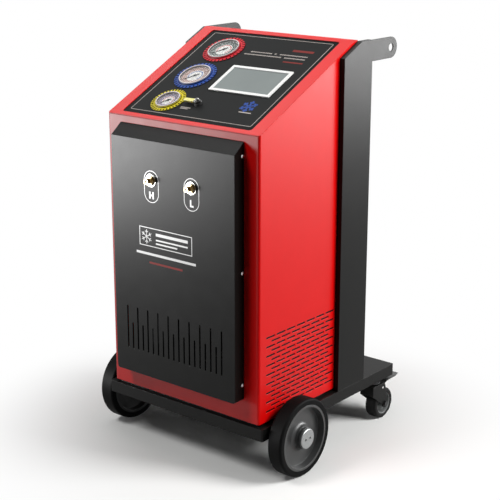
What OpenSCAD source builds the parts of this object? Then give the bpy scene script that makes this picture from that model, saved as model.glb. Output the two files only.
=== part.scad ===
// Refrigerant recovery station: a sheet-metal cabinet with a sloping console,
// standing on a folded base with two fixed wheels in front and two swivel casters behind.
// Lengths are in millimetres, the front faces -Y and +Z is up.

/* [Cabinet] */
// Width of the cabinet
cab_w = 425; // [410:1:460]
// Height of the front face
cab_h = 622; // [600:1:680]
// Length of the sloping console, front edge to back edge
slope_len = 361; // [355:1:380]
// Tilt of the console from level
slope_angle = 26; // [22:0.5:30]
// Depth of the level strip behind the console
cab_top = 8.5; // [6:0.5:20]
// Thickness of the cabinet sheet
cab_sheet = 1.5; // [1:0.1:2]
// Outer bend radius of the two front corners
cab_bend = 5; // [2.5:0.1:6]
// Height of the plinth that leaves a shadow gap under the cabinet
plinth_h = 6; // [4:0.5:10]
// Width of the flange that turns in under the cabinet walls
cab_flange = 22; // [18:1:30]

/* [Side vents] */
// Length of one vent slot
vent_len = 30; // [24:0.5:31]
// Width of one vent slot
vent_w = 4.2; // [2.5:0.1:4.6]
// Spacing of the slots along a row
vent_pitch = 35; // [34:0.5:37.5]
// Spacing of the rows
vent_rows_pitch = 10.4; // [8:0.1:10.6]
// Number of rows
vent_rows = 17; // [5:2:17]
// Number of slots in a full row
vent_cols = 7; // [4:1:7]
// First slot behind the front face
vent_y = 24; // [18:0.5:28]
// Top row above the cabinet's lower edge
vent_top = 189; // [180:1:260]

/* [Base] */
// Depth of the base skirt
base_skirt = 27; // [22:1:40]
// Thickness of the base sheet
base_sheet = 2.5; // [2:0.1:3]
// How far the base stands in front of the cabinet
base_front = 5; // [2:0.5:12]
// Depth of the shelf behind the cabinet
shelf_d = 165.5; // [150:0.5:200]
// How far the base and posts stand out beside the cabinet
side_over = 13; // [12:0.5:18]
// Width of the flange folded in under the skirt
base_return = 48; // [46:1:60]
// Corner radius of the base
base_bend = 4; // [3.5:0.5:8]

/* [Posts] */
// Width of a post seen from the side
post_w = 102.6; // [90:0.1:115]
// How far a post stands out behind the cabinet
post_ear = 38.6; // [32:0.1:48]
// Thickness of the post plate
post_sheet = 3; // [2.5:0.1:3.5]
// Drop of the post's sloping edge below the console plane
post_drop = 5; // [4:0.5:8]
// Height of the rearward arm
arm_h = 46.5; // [40:0.5:56]
// Drop of the arm's top below the cabinet's top
arm_drop = 2; // [1:0.5:3]
// Distance from the post's back edge to the handle hole
arm_reach = 72.4; // [60:0.1:85]
// Diameter of the handle hole
handle_d = 18; // [14:0.5:24]

/* [Front cover] */
// Width of the front cover
cover_w = 346; // [338:1:360]
// How far the cover stands out from the front face
cover_proud = 31; // [27:0.5:36]
// Cover's lower edge above the cabinet's lower edge
cover_low = 48; // [40:1:60]
// Rounding of the cover's two lower corners
cover_round = 7; // [4:0.5:12]
// Cover's upper edge below the console edge
cover_high = 16; // [12:1:24]
// Height of the sloping strip at the cover's top
cover_slant = 23.5; // [18:0.5:28]
// Thickness of the cover sheet
cover_sheet = 1.5; // [1:0.1:2]
// Gap between the cover's back edge and the cabinet
cover_gap = 1; // [0.5:0.1:2]
// Number of louvre slots
louvre_count = 19; // [9:2:21]
// Spacing of the louvre slots
louvre_pitch = 15.2; // [12:0.1:15.6]
// Width of a louvre slot
louvre_w = 4; // [3:0.1:5]
// Louvre slots' lower ends above the cover's lower edge
louvre_low = 56; // [50:1:80]
// Length of a long louvre slot
louvre_long = 99; // [80:1:120]
// Length of a short louvre slot
louvre_short = 61; // [40:1:70]
// Diameter of the cover screws
screw_d = 4; // [3:0.5:5]
// Diameter of a screw head
screw_head = 8; // [7:0.5:10]

/* [Service ports] */
// Distance of each port from the middle
port_x = 57; // [50:1:70]
// Ports below the console edge
port_drop = 124; // [110:1:140]
// How far a port reaches out of the cover
port_reach = 17; // [16:0.5:24]
// Diameter of the threaded end
port_d = 11.1; // [10:0.1:14]
// Length of the threaded end
port_thread = 9; // [8:0.5:10]
// Width across flats of the port's body
port_hex = 19; // [16:0.5:22]
// Diameter of the washer on the cover
port_washer = 28; // [26:1:34]
// Thickness of the washer
washer_t = 2; // [1.5:0.1:3]

/* [Console] */
// Width of the black control panel's window
panel_w = 362; // [350:1:370]
// Rim in front of the window
panel_rim = 12.6; // [12:0.1:18]
// Length of the window along the slope
panel_len = 336.7; // [326:0.1:338]
// Corner radius of the window
panel_r = 7; // [3:0.5:15]
// How far the panel reaches under the rim
panel_lap = 8; // [6:0.5:10]
// Thickness of the control panel
panel_t = 2; // [1.5:0.1:3]

/* [Display] */
// Width of the display frame
screen_w = 165; // [150:1:170]
// Length of the display frame along the slope
screen_h = 96.7; // [90:0.1:110]
// Border of the display frame
screen_rim = 7.5; // [5:0.5:10]
// Thickness of the display frame
screen_t = 2.5; // [2:0.1:4]
// Middle of the display to the right of the cabinet's middle
screen_x = 61; // [58:0.5:68]
// Middle of the display up the slope
screen_s = 174.4; // [170:0.1:182]

/* [Gauges] */
// Gauges to the left of the cabinet's middle
gauge_x = 92; // [90:0.5:96]
// High-pressure gauge up the slope
high_s = 277; // [275:1:281]
// Low-pressure gauge up the slope
low_s = 169; // [167:1:172]
// Tank gauge up the slope
tank_s = 71; // [69:1:75]
// Bezel diameter of the two large gauges
gauge_d = 75; // [70:0.5:76]
// Bezel diameter of the small gauge
small_d = 57; // [50:0.5:58]
// How far a boot stands out around its bezel
boot_wall = 12; // [10:0.5:13]
// Height of a boot
boot_h = 4; // [3:0.5:6]
// Number of notches round a boot
boot_notches = 32; // [20:2:36]
// Height of the bezel ring above the boot
bezel_h = 2; // [1.5:0.5:4]
// Depth of a gauge case below the panel
case_depth = 24; // [20:1:30]

/* [Bleed valve] */
// Spindle to the left of the cabinet's middle
valve_x = 8; // [4:1:12]
// Spindle up the slope
valve_s = 73.5; // [70:0.5:78]
// Length of the lever from its spindle
lever_len = 38; // [32:1:40]
// Height of the valve body
valve_h = 5; // [5:0.5:9]

/* [Wheels] */
// Diameter of a wheel
wheel_d = 175; // [170:1:180]
// Width of a wheel
wheel_w = 36; // [32:1:42]
// Axle behind the front face
wheel_y = 91; // [85:1:110]
// Gap between the base and a wheel
wheel_gap = 6.5; // [6:0.5:12]
// Diameter of the wheel's dished middle
dish_d = 137; // [125:1:140]
// Depth of the dish
dish_depth = 15; // [10:0.5:16]
// Width of the rim ring inside the tyre
rim_w = 5.5; // [4:0.5:6]
// Diameter of the hub
hub_d = 52; // [50:1:60]
// Diameter of the axle
axle_d = 20; // [18:0.5:21]
// Diameter of the axle cap
cap_d = 45; // [40:1:48]
// Thickness of the axle cap
cap_t = 5; // [4:0.5:7]
// Diameter of the spanner holes in an axle cap
cap_hole = 5.5; // [4:0.5:7]

/* [Casters] */
// Height of a caster, floor to base
caster_h = 99; // [98:0.5:104]
// Diameter of a caster wheel
caster_d = 75; // [70:0.5:75.5]
// Width of a caster wheel
caster_w = 29; // [26:0.5:31]
// Swivel axis inside the base's side
caster_in = 13.5; // [13:0.5:22]
// Swivel axis ahead of the base's back edge
caster_fore = 67.5; // [60:0.5:75]
// Trail of the wheel behind the swivel axis
caster_trail = 28; // [27:0.5:32]
// Diameter of the swivel race
race_d = 36; // [34:1:40]
// Thickness of the fork plate
fork_t = 3; // [2.5:0.1:3]
// Brake pedal's tip behind the swivel axis
pedal_reach = 88; // [84:1:100]
// Width of the brake pedal
pedal_w = 32; // [31:1:36]

/* [Rear panel] */
// Width of the power inlet's flange
inlet_w = 50; // [48:1:56]
// Height of the power inlet's flange
inlet_h = 36; // [34:1:40]
// Width of the rocker switch's frame
rocker_w = 24; // [22:1:28]
// Height of the rocker switch's frame
rocker_h = 30; // [28:1:34]
// Inlet and switch above the cabinet's lower edge
inlet_z = 90; // [80:1:140]
// Tilt of the rocker to each side
rocker_tilt = 8; // [5:0.5:10]

/* [Fits] */
// Radial play of a turning fit
run_play = 0.05; // [0.02:0.01:0.09]
// Gap between pieces that move past each other
move_gap = 0.5; // [0.4:0.05:0.7]
// Gap round fixed pieces that drop into a hole
drop_gap = 0.2; // [0.1:0.05:0.25]

/* [Hidden] */
$fn = 64;

// Paint and material colours
red_paint = "#e0201c";
black_paint = "#2b2b2b";
black_plastic = "#1c1c1c";
grey_rubber = "#3a3a3a";
bright_steel = "#c8c8c8";
brass_metal = "#b08a3c";
copper_metal = "#b5683a";

// Cabinet heights and depths, with the front face at y = 0
base_z = caster_h;
base_top = base_z + base_skirt;
cab_bottom = base_top + plinth_h;
front_top = cab_bottom + cab_h;
slope_y = slope_len * cos(slope_angle);
top_z = front_top + slope_len * sin(slope_angle);
cab_d = slope_y + cab_top;
half_w = cab_w / 2;
base_half = half_w + side_over;
base_back = cab_d + shelf_d;
base_len = base_back + base_front;
base_mid = (base_back - base_front) / 2;
plinth_in = 8;
plinth_wall = 12;

// Height of a plane parallel to the console, lowered square to it by drop
function slope_at(y, drop) = front_top + y * tan(slope_angle) - drop / cos(slope_angle);
function slope_back(z, drop) = (z - front_top + drop / cos(slope_angle)) / tan(slope_angle);

// Posts
post_y2 = cab_d + post_ear;
post_y1 = post_y2 - post_w;
arm_top = top_z - arm_drop;
arm_z = arm_top - arm_h / 2;
arm_y = post_y2 + arm_reach;
foot_x = (half_w + base_half - post_sheet) / 2;
foot_bolt_d = 5;
foot_bolt_in = 25;

// Front cover
cover_z1 = cab_bottom + cover_low;
cover_z2 = front_top - cover_high;
cover_face = -cover_proud;
cover_back = -cover_gap;
cover_lean = atan2(cover_slant, cover_proud - cover_gap);
louvre_z = cover_z1 + louvre_low;
port_z = front_top - port_drop;
port_hole = port_d + 1;
collar_out = cover_w / 2 - cover_sheet;
collar_deep = 14;
collar_low = 20;
collar_high = 28;
screw_y = -6;
screw_z = [cover_z1 + 35.5, (cover_z1 + cover_z2) / 2 + 4, cover_z2 - 29];
screw_in = 9;
head_t = 2;
door_w = 300;
door_low = 35;
door_high = 38;

// Control panel stack, measured up from the panel's face
panel_mid = panel_rim + panel_len / 2;
panel_seat = 0.05;
dial_drop = 4.5;
dial_t = 1;
lens_t = 1.2;
case_wall = 1.4;
bezel_lap = 1;
bezel_lip = 1.2;
bezel_cover = 1.3;
bezel_top = boot_h + bezel_h;
glass_top = bezel_top - bezel_cover;
dial_low = glass_top - dial_drop;
needle_t = 0.8;
needle_lift = 0.6;
needle_pin = 1.2;

// Wheels and axle
wheel_r = wheel_d / 2;
wheel_in = base_half + wheel_gap;
wheel_x = wheel_in + wheel_w / 2;
hub_proud = 1.5;
axle_end = wheel_in + wheel_w + hub_proud + move_gap;
bracket_x = base_half - base_return + 14;
bracket_w = 24;
bracket_flange = 4;
bracket_bolt_y = 28;
bracket_bolt_d = 6;

// Casters
caster_r = caster_d / 2;
caster_x = base_half - caster_in;
caster_y = base_back - caster_fore;
race_t = 6;
kingpin_d = 12;
fork_top = base_z - race_t - move_gap;
fork_low = fork_top - fork_t;
leg_t = 2.5;
leg_in = caster_w / 2 + 1.5;
leg_out = leg_in + leg_t;
leg_front = 24;
leg_back = 25;
leg_low = 24;
caster_axle_d = 8;
rivet_t = 3;
pivot_y = caster_y + 17;
pivot_z = fork_low - 8;
pivot_d = 5;
pedal_t = 3;
pedal_lift = 1;
pedal_drop = 9.5;
shoe_drop = 4;

// Overall depth, used to put the origin under the middle of the machine
reach_front = cover_proud + port_reach;
reach_back = caster_y + pedal_reach;
shift_y = (reach_front - reach_back) / 2;

// Rear panel fittings
inlet_x = -half_w + 70;
rocker_x = inlet_x + inlet_w / 2 + rocker_w / 2 + 12;
fitting_z = cab_bottom + inlet_z;
fitting_t = 3;
rear_vent_w = 180;
rear_vent_rows = 9;

// Parts inside the cabinet
wall_in = half_w - cab_sheet;
tank_r = 92;
tank_h = 300;
tank_wall = 3;
tank_x = -wall_in + 12 + tank_r;
tank_y = cab_d - 26 - tank_r;
scale_t = 5;
scale_h = 26;
tank_foot = 14;
tank_neck = 30;
tank_z = base_top + scale_h + scale_t + tank_foot;
comp_r = 54;
comp_h = 190;
comp_foot = 18;
comp_y = 10 + comp_r;
comp_top = base_top + comp_foot + comp_h;
pump_r = 46;
pump_len = 150;
pump_y = 60;
pump_z = base_top + 14 + pump_r;
cond_t = 32;
cond_w = 220;
cond_h = 190;
cond_x = wall_in - 12 - cond_t / 2;
cond_y = 150;
cond_z = cab_bottom + cab_sheet + cond_h / 2;
fan_r = 78;
fan_w = 14;
fan_x = cond_x - cond_t / 2 - 18;
fan_shaft = 8;
motor_room = 34;
pump_fin = 3;
pump_x = fan_x - fan_w / 2 - motor_room - pump_r - pump_fin;
drier_r = 30;
drier_h = 150;
drier_z = comp_top + 80;
block_w = door_w * 0.6;
block_x = door_w / 10;
block_d = 46;
block_h = 56;
block_z = port_z - 6;
block_y = cab_sheet + 3;
plate_h = 120;
coil_r = 13;
coil_h = 30;
coil_pitch = block_w * 0.18;
plate_w = door_w + 30;
tube_r = 4;
stem_r = 6;
stem_len = 16;
board_w = 160;
board_len = 100;
board_drop = 24;
board_t = 1.6;

// Puts a piece drawn from the cabinet's front face into the machine's own frame
module place() translate([0, shift_y, 0]) children();

// Mirrors a right-hand piece to the left
module on_side(side) mirror([side < 0 ? 1 : 0, 0, 0]) children();

// Sweeps a side view, drawn as y and z, across the machine
module across(width) rotate([90, 0, 90]) linear_extrude(width, center = true) children();

// Frame of the sloping console: x across, y up the slope, z out of it
module on_slope() translate([0, 0, front_top]) rotate([slope_angle, 0, 0]) children();

// Frame of the control panel's own face, seated just under the console sheet
module on_panel(x, s) on_slope() translate([x, s, -cab_sheet - panel_seat]) children();

// Round shape along X, drawn about Z, with +Z turned to the outside
module along_x() rotate([0, 90, 0]) children();

// Round shape along -Y, drawn about Z
module to_front() rotate([90, 0, 0]) children();

module rounded(w, h, r) {
  square([w - 2 * r, h], center = true);
  square([w, h - 2 * r], center = true);
  for (x = [-1, 1], y = [-1, 1])
    translate([x * (w / 2 - r), y * (h / 2 - r)]) circle(r);
}

module slot(length, width) {
  square([length - width, width], center = true);
  for (x = [-1, 1]) translate([x * (length - width) / 2, 0]) circle(width / 2);
}

// Flat plan of the cabinet with its two bent front corners, drawn in by inset
module cabinet_plan(inset) {
  side = half_w - inset;
  flat = half_w - cab_bend;
  translate([-side, cab_bend]) square([2 * side, cab_d - cab_bend]);
  translate([-flat, inset]) square([2 * flat, 2 * cab_bend]);
  for (x = [-1, 1]) translate([x * flat, cab_bend]) circle(cab_bend - inset);
}

// Folded steel base: top sheet, skirt all round, return flange and cabinet plinth
module base_tray() color(black_paint) place() difference() {
  union() {
    translate([0, base_mid, base_z]) difference() {
      linear_extrude(base_skirt) rounded(2 * base_half, base_len, base_bend);
      translate([0, 0, base_sheet]) linear_extrude(base_skirt - 2 * base_sheet)
        rounded(2 * base_half - 2 * base_sheet, base_len - 2 * base_sheet, base_bend - base_sheet);
      translate([0, 0, -1]) linear_extrude(base_sheet + 2)
        square([2 * base_half - 2 * base_return, base_len - 2 * base_return], center = true);
    }
    translate([0, cab_d / 2, base_top]) linear_extrude(plinth_h) difference() {
      square([cab_w - 2 * plinth_in, cab_d - 2 * plinth_in], center = true);
      square([cab_w - 2 * plinth_in - 2 * plinth_wall, cab_d - 2 * plinth_in - 2 * plinth_wall],
        center = true);
    }
  }
  for (side = [-1, 1]) {
    translate([side * caster_x, caster_y, base_z - 1])
      cylinder(d = kingpin_d + 2 * drop_gap, h = base_sheet + 2);
    for (y = foot_bolts()) translate([side * foot_x, y, base_top - base_sheet - 1])
      cylinder(d = foot_bolt_d + 2 * drop_gap, h = base_sheet + 2);
    for (y = bracket_bolts()) translate([side * bracket_x, y, base_z - 1])
      cylinder(d = bracket_bolt_d + 2 * drop_gap, h = base_sheet + 2);
  }
}

function foot_bolts() = [post_y1 + foot_bolt_in, post_y2 - foot_bolt_in];
function bracket_bolts() = [wheel_y - bracket_bolt_y, wheel_y + bracket_bolt_y];

// Outline of a post without its arm, drawn in by inset on every side
module post_outline(inset) polygon([
  [post_y1 + inset, base_top + inset],
  [post_y2 - inset, base_top + inset],
  [post_y2 - inset, arm_top - inset],
  [slope_back(arm_top - inset, post_drop + inset), arm_top - inset],
  [post_y1 + inset, slope_at(post_y1 + inset, post_drop + inset)]
]);

// Side post: a shallow pan of folded plate whose web runs on into a round-ended arm
module post() {
  difference() {
    translate([base_half - side_over / 2, 0, 0]) across(side_over) post_outline(0);
    translate([base_half - post_sheet - side_over / 2, 0, 0]) across(side_over) post_outline(post_sheet);
    for (y = foot_bolts()) translate([foot_x, y, base_top - 1])
      cylinder(d = foot_bolt_d + 2 * drop_gap, h = post_sheet + 2);
  }
  translate([base_half - post_sheet / 2, 0, 0]) across(post_sheet) difference() {
    union() {
      translate([post_y2 - post_sheet, arm_z - arm_h / 2]) square([arm_reach + post_sheet, arm_h]);
      translate([arm_y, arm_z]) circle(arm_h / 2);
    }
    translate([arm_y, arm_z]) circle(handle_d / 2);
  }
}

module left_post() color(black_paint) place() on_side(-1) post();
module right_post() color(black_paint) place() on_side(1) post();

// Hexagon bolt with its nut, standing on z = 0 and gripping a stack of the given thickness
module bolt(d, grip) {
  cylinder(d = 1.7 * d, h = 0.6 * d, $fn = 6);
  translate([0, 0, -grip - d]) cylinder(d = d, h = grip + d + 0.1);
  translate([0, 0, -grip - 0.8 * d]) cylinder(d = 1.7 * d, h = 0.8 * d, $fn = 6);
}

// Bolts of the post feet and of the axle brackets
module frame_bolts() color(bright_steel) place() for (side = [-1, 1]) {
  for (y = foot_bolts()) translate([side * foot_x, y, base_top + post_sheet])
    bolt(foot_bolt_d, post_sheet + base_sheet);
  for (y = bracket_bolts()) translate([side * bracket_x, y, base_z + base_sheet])
    bolt(bracket_bolt_d, base_sheet + bracket_flange);
}

// Rows of staggered slots, drawn as y and z
module side_vents() for (row = [0 : vent_rows - 1]) {
  shifted = row % 2;
  for (col = [0 : vent_cols - 1 - shifted])
    translate([vent_y + vent_len / 2 + (col + shifted / 2) * vent_pitch,
      cab_bottom + vent_top - row * vent_rows_pitch]) slot(vent_len, vent_w);
}

// Side view of the cabinet under its console sheet
module cabinet_side() polygon([
  [0, cab_bottom],
  [cab_d - cab_sheet, cab_bottom],
  [cab_d - cab_sheet, top_z - cab_sheet],
  [slope_back(top_z - cab_sheet, cab_sheet), top_z - cab_sheet],
  [0, slope_at(0, cab_sheet)]
]);

// Wrap of front and sides, with vents, service opening, cover collar and turned-in foot
module cabinet_shell() color(red_paint) place() difference() {
  union() {
    difference() {
      intersection() {
        across(cab_w) cabinet_side();
        linear_extrude(2 * top_z) cabinet_plan(0);
      }
      translate([0, 0, cab_bottom + cab_sheet]) linear_extrude(top_z) cabinet_plan(cab_sheet);
      translate([-half_w + cab_flange, cab_flange, cab_bottom - 1])
        cube([cab_w - 2 * cab_flange, cab_d, cab_sheet + 2]);
    }
    for (side = [-1, 1]) translate([side * (collar_out - cab_sheet / 2), -collar_deep / 2 + cab_sheet / 2, 0])
      translate([0, 0, (cover_z1 + collar_low + cover_z2 - collar_high) / 2])
        cube([cab_sheet, collar_deep + cab_sheet, cover_z2 - cover_z1 - collar_low - collar_high],
          center = true);
  }
  translate([-door_w / 2, -1, cover_z1 + door_low])
    cube([door_w, cab_sheet + 2, cover_z2 - cover_z1 - door_low - door_high]);
  across(cab_w + 2) side_vents();
  cover_screw_holes();
}

// Red console frame with the window for the control panel
module console_top() color(red_paint) place() difference() {
  intersection() {
    across(cab_w) polygon([
      [0, front_top],
      [slope_y, top_z],
      [cab_d, top_z],
      [cab_d, top_z - cab_sheet],
      [slope_back(top_z - cab_sheet, cab_sheet), top_z - cab_sheet],
      [0, slope_at(0, cab_sheet)]
    ]);
    linear_extrude(2 * top_z) cabinet_plan(0);
  }
  on_slope() translate([0, panel_mid, -2 * cab_sheet]) linear_extrude(3 * cab_sheet)
    rounded(panel_w, panel_len, panel_r);
}

// Back wall with louvre rows and the cut-outs for inlet and switch
module rear_panel() color(red_paint) place() difference() {
  translate([-half_w, cab_d - cab_sheet, cab_bottom])
    cube([cab_w, cab_sheet, top_z - cab_sheet - cab_bottom]);
  for (row = [0 : rear_vent_rows - 1])
    translate([60, cab_d, cab_bottom + 80 + row * 16]) to_front()
      linear_extrude(4 * cab_sheet, center = true) slot(rear_vent_w, 5);
  translate([inlet_x, cab_d, fitting_z]) cube([inlet_w - 8, 4 * cab_sheet, inlet_h - 6], center = true);
  translate([rocker_x, cab_d, fitting_z]) cube([rocker_w - 4, 4 * cab_sheet, rocker_h - 4], center = true);
  for (p = rear_screws()) translate([p[0], cab_d, p[1]]) to_front()
    cylinder(d = screw_d + 2 * drop_gap, h = 4 * cab_sheet, center = true);
}

function rear_screws() = [
  for (x = [-1, 1], k = [0 : 2]) [x * (half_w - 8), cab_bottom + 40 + k * (top_z - cab_bottom - 80) / 2]
];

// Height of the cover's slanted strip, lowered square to it by inset
function cover_slant_at(y, inset) =
  cover_z2 - cover_slant + (y - cover_face) * tan(cover_lean) - inset / cos(cover_lean);

// Side view of the front cover, drawn in by inset and ending at back
module cover_side(inset, back) polygon([
  [cover_face + inset, cover_z1 + inset],
  [back, cover_z1 + inset],
  [back, cover_slant_at(back, inset)],
  [cover_face + inset, cover_slant_at(cover_face + inset, inset)]
]);

// Front view of the cover, drawn in by inset, with its lower corners rounded
module cover_front(inset) {
  low = cover_z1 + inset;
  r = cover_round - inset;
  flat = cover_w / 2 - cover_round;
  translate([-cover_w / 2 + inset, low + r]) square([cover_w - 2 * inset, cover_z2 - low]);
  translate([-flat, low]) square([2 * flat, 2 * r]);
  for (x = [-1, 1]) translate([x * flat, low + r]) circle(r);
}

// Solid of the cover, drawn in by inset on every side but the back
module cover_block(inset, back) intersection() {
  across(cover_w - 2 * inset) cover_side(inset, back);
  to_front() linear_extrude(4 * cover_proud, center = true) cover_front(inset);
}

module cover_screw_holes() for (z = screw_z) translate([0, screw_y, z])
  along_x() cylinder(d = screw_d + 2 * drop_gap, h = cover_w + 2, center = true);

// Folded front cover, open at the back, with louvre slots and port holes
module front_cover() color(black_paint) place() difference() {
  cover_block(0, cover_back);
  cover_block(cover_sheet, cover_back + cover_sheet);
  for (k = [0 : louvre_count - 1]) {
    long = k % 2 == 0 ? louvre_long : louvre_short;
    translate([(k - (louvre_count - 1) / 2) * louvre_pitch, cover_face, louvre_z + long / 2])
      to_front() rotate([0, 0, 90]) linear_extrude(4 * cover_sheet, center = true) slot(long, louvre_w);
  }
  for (side = [-1, 1]) translate([side * port_x, cover_face, port_z]) to_front()
    cylinder(d = port_hole, h = 4 * cover_sheet, center = true);
  cover_screw_holes();
}

// Pan-head screw along +Z with its head standing on z = 0
module panel_screw(length) {
  translate([0, 0, -length]) cylinder(d = screw_d, h = length + 0.1);
  rotate_extrude() polygon([
    [0, 0], [screw_head / 2, 0], [screw_head / 2 - 0.6, head_t * 0.7], [screw_head / 4, head_t], [0, head_t]
  ]);
}

// Screws of the front cover's sides and of the back wall
module panel_screws() color(bright_steel) place() {
  for (side = [-1, 1], z = screw_z) translate([side * cover_w / 2, screw_y, z])
    rotate([0, side * 90, 0]) panel_screw(screw_in);
  for (p = rear_screws()) translate([p[0], cab_d, p[1]]) rotate([-90, 0, 0]) panel_screw(screw_in);
}

// Brass service port: shank through the cover, hexagon, neck and hollow threaded end
module service_port() {
  hex_len = port_reach - washer_t - port_thread;
  neck = 2;
  translate([0, cover_face - washer_t, port_z]) to_front() {
    cylinder(d = port_hex / cos(30), h = hex_len - neck, $fn = 6);
    translate([0, 0, hex_len - neck]) cylinder(d = port_hex - 2, h = neck);
    difference() {
      translate([0, 0, hex_len]) cylinder(d = port_d, h = port_thread);
      translate([0, 0, hex_len + 4]) cylinder(d = port_d / 2, h = port_thread);
    }
  }
  translate([0, cab_sheet, port_z]) to_front() cylinder(d = port_d, h = cover_proud + washer_t + cab_sheet);
}

module high_side_port() color(brass_metal) place() translate([-port_x, 0, 0]) service_port();
module low_side_port() color(brass_metal) place() translate([port_x, 0, 0]) service_port();

// Plated washers under the two ports
module port_washers() color(bright_steel) place() for (side = [-1, 1])
  translate([side * port_x, cover_face, port_z]) to_front() difference() {
    cylinder(d = port_washer, h = washer_t);
    translate([0, 0, -1]) cylinder(d = port_hole, h = washer_t + 2);
  }

// Radii of a gauge, from its bezel diameter
function case_r(d) = d / 2 - bezel_lap;
function bore_r(d) = case_r(d) - case_wall;

// The three gauges: place up the slope and bezel diameter
gauge_red = [high_s, gauge_d];
gauge_blue = [low_s, gauge_d];
gauge_yellow = [tank_s, small_d];
gauges = [gauge_red, gauge_blue, gauge_yellow];

// Black panel under the console rim, with holes for gauges, valve and display lead
module control_panel() color(black_plastic) place() on_panel(0, 0)
  translate([0, 0, -panel_t]) linear_extrude(panel_t) difference() {
    translate([0, panel_mid]) rounded(panel_w + 2 * panel_lap, panel_len + 2 * panel_lap, panel_r);
    for (g = gauges) translate([-gauge_x, g[0]]) circle(case_r(g[1]) + drop_gap);
    translate([-valve_x, valve_s]) circle(valve_shank + drop_gap);
    translate([screen_x, screen_s]) slot(40, 8);
  }

// White frame round the display
module display_frame() color("white") place() on_panel(screen_x, screen_s) linear_extrude(screen_t)
  difference() {
    rounded(screen_w, screen_h, 2);
    square([screen_w - 2 * screen_rim, screen_h - 2 * screen_rim], center = true);
  }

// Display glass inside the frame
module display_screen() color("#8d9795") place() on_panel(screen_x, screen_s) linear_extrude(screen_t - 1)
  square([screen_w - 2 * screen_rim - 2 * drop_gap, screen_h - 2 * screen_rim - 2 * drop_gap], center = true);

// Rubber boot round a gauge: a collar and a flat brim with radial notches all round
module gauge_boot(g) on_panel(-gauge_x, g[0]) {
  inner = case_r(g[1]) + drop_gap;
  collar = g[1] / 2 + 1.5;
  foot = collar + 1;
  outer = g[1] / 2 + boot_wall;
  brim = 1.8;
  notch_w = 3.2;
  notch_floor = 0.6;
  notch_in = 3;
  difference() {
    rotate_extrude() polygon([
      [inner, 0], [outer, 0], [outer, brim], [foot, brim], [collar, boot_h], [inner, boot_h]
    ]);
    for (k = [0 : boot_notches - 1]) rotate([0, 0, k * 360 / boot_notches])
      translate([foot + notch_in, -notch_w / 2, notch_floor]) cube([boot_wall, notch_w, boot_h]);
  }
}

module red_gauge_boot() color("#c8202a") place() gauge_boot(gauge_red);
module blue_gauge_boot() color("#2452a8") place() gauge_boot(gauge_blue);
module yellow_gauge_boot() color("#d8c21e") place() gauge_boot(gauge_yellow);

// Gauge case: deep cup with a dial ledge, bezel ring and stem
module gauge_case(g) on_panel(-gauge_x, g[0]) {
  outer = g[1] / 2;
  wall = case_r(g[1]);
  bore = bore_r(g[1]);
  lip = bore - bezel_lip;
  ledge = bore - 3;
  round_off = 1;
  rotate_extrude() polygon([
    [0, -case_depth], [wall, -case_depth], [wall, boot_h], [outer, boot_h],
    [outer, bezel_top - round_off], [outer - round_off, bezel_top],
    [lip + round_off, bezel_top], [lip, bezel_top - round_off], [lip, glass_top],
    [bore, glass_top], [bore, dial_low], [ledge, dial_low],
    [ledge, -case_depth + case_wall], [0, -case_depth + case_wall]
  ]);
  translate([0, 0, -case_depth - stem_len]) cylinder(r = stem_r, h = stem_len);
}

module red_gauge_case() color(bright_steel) place() gauge_case(gauge_red);
module blue_gauge_case() color(bright_steel) place() gauge_case(gauge_blue);
module yellow_gauge_case() color(bright_steel) place() gauge_case(gauge_yellow);

// White dials on the ledges of the cases
module gauge_dials() color("white") place() for (g = gauges)
  on_panel(-gauge_x, g[0]) translate([0, 0, dial_low]) difference() {
    cylinder(r = bore_r(g[1]) - drop_gap, h = dial_t);
    translate([0, 0, -1]) cylinder(r = needle_pin + run_play, h = dial_t + 2);
  }

// Clear lenses under the bezel rings
module gauge_lenses() color("#dfe9ee", 0.35) place() for (g = gauges)
  on_panel(-gauge_x, g[0]) translate([0, 0, glass_top - lens_t])
    cylinder(r = bore_r(g[1]) - drop_gap, h = lens_t);

// Tapered needle on its spindle, resting at the dial's zero
module gauge_needle(g) on_panel(-gauge_x, g[0]) translate([0, 0, dial_low]) {
  reach = bore_r(g[1]) - 6;
  tail = reach / 3;
  zero_angle = 225;
  cylinder(r = needle_pin, h = dial_t + needle_lift);
  translate([0, 0, dial_t + needle_lift]) linear_extrude(needle_t) {
    circle(3.5);
    rotate([0, 0, zero_angle]) polygon([
      [-tail, -1.6], [-tail, 1.6], [0, 1.3], [reach, 0.4], [reach, -0.4], [0, -1.3]
    ]);
  }
}

module red_needle() color(black_plastic) place() gauge_needle(gauge_red);
module blue_needle() color(black_plastic) place() gauge_needle(gauge_blue);
module yellow_needle() color(black_plastic) place() gauge_needle(gauge_yellow);

// Quarter-turn bleed valve: body, spindle and the shank through the panel
valve_shank = 6;
valve_r = 9;
spindle_r = 3;
lever_t = 4;
lever_w = 10;
lever_hub = 7;
nut_t = 3;
module bleed_valve() color(black_plastic) place() on_panel(-valve_x, valve_s) {
  translate([0, 0, -panel_t - 16]) cylinder(r = valve_shank, h = panel_t + 16);
  cylinder(r = valve_r, h = valve_h);
  translate([0, 0, valve_h]) cylinder(r = spindle_r, h = lever_t + 2 * move_gap + nut_t + 1);
}

// Yellow lever, turning on the spindle
module bleed_lever() color("#d8c21e") place() on_panel(-valve_x, valve_s)
  translate([0, 0, valve_h + move_gap]) linear_extrude(lever_t) difference() {
    union() {
      circle(lever_hub);
      translate([-lever_len + lever_w / 2, 0]) circle(lever_w / 2);
      translate([-lever_len + lever_w / 2, -lever_w / 2]) square([lever_len - lever_w / 2, lever_w]);
    }
    circle(spindle_r + run_play);
  }

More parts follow.
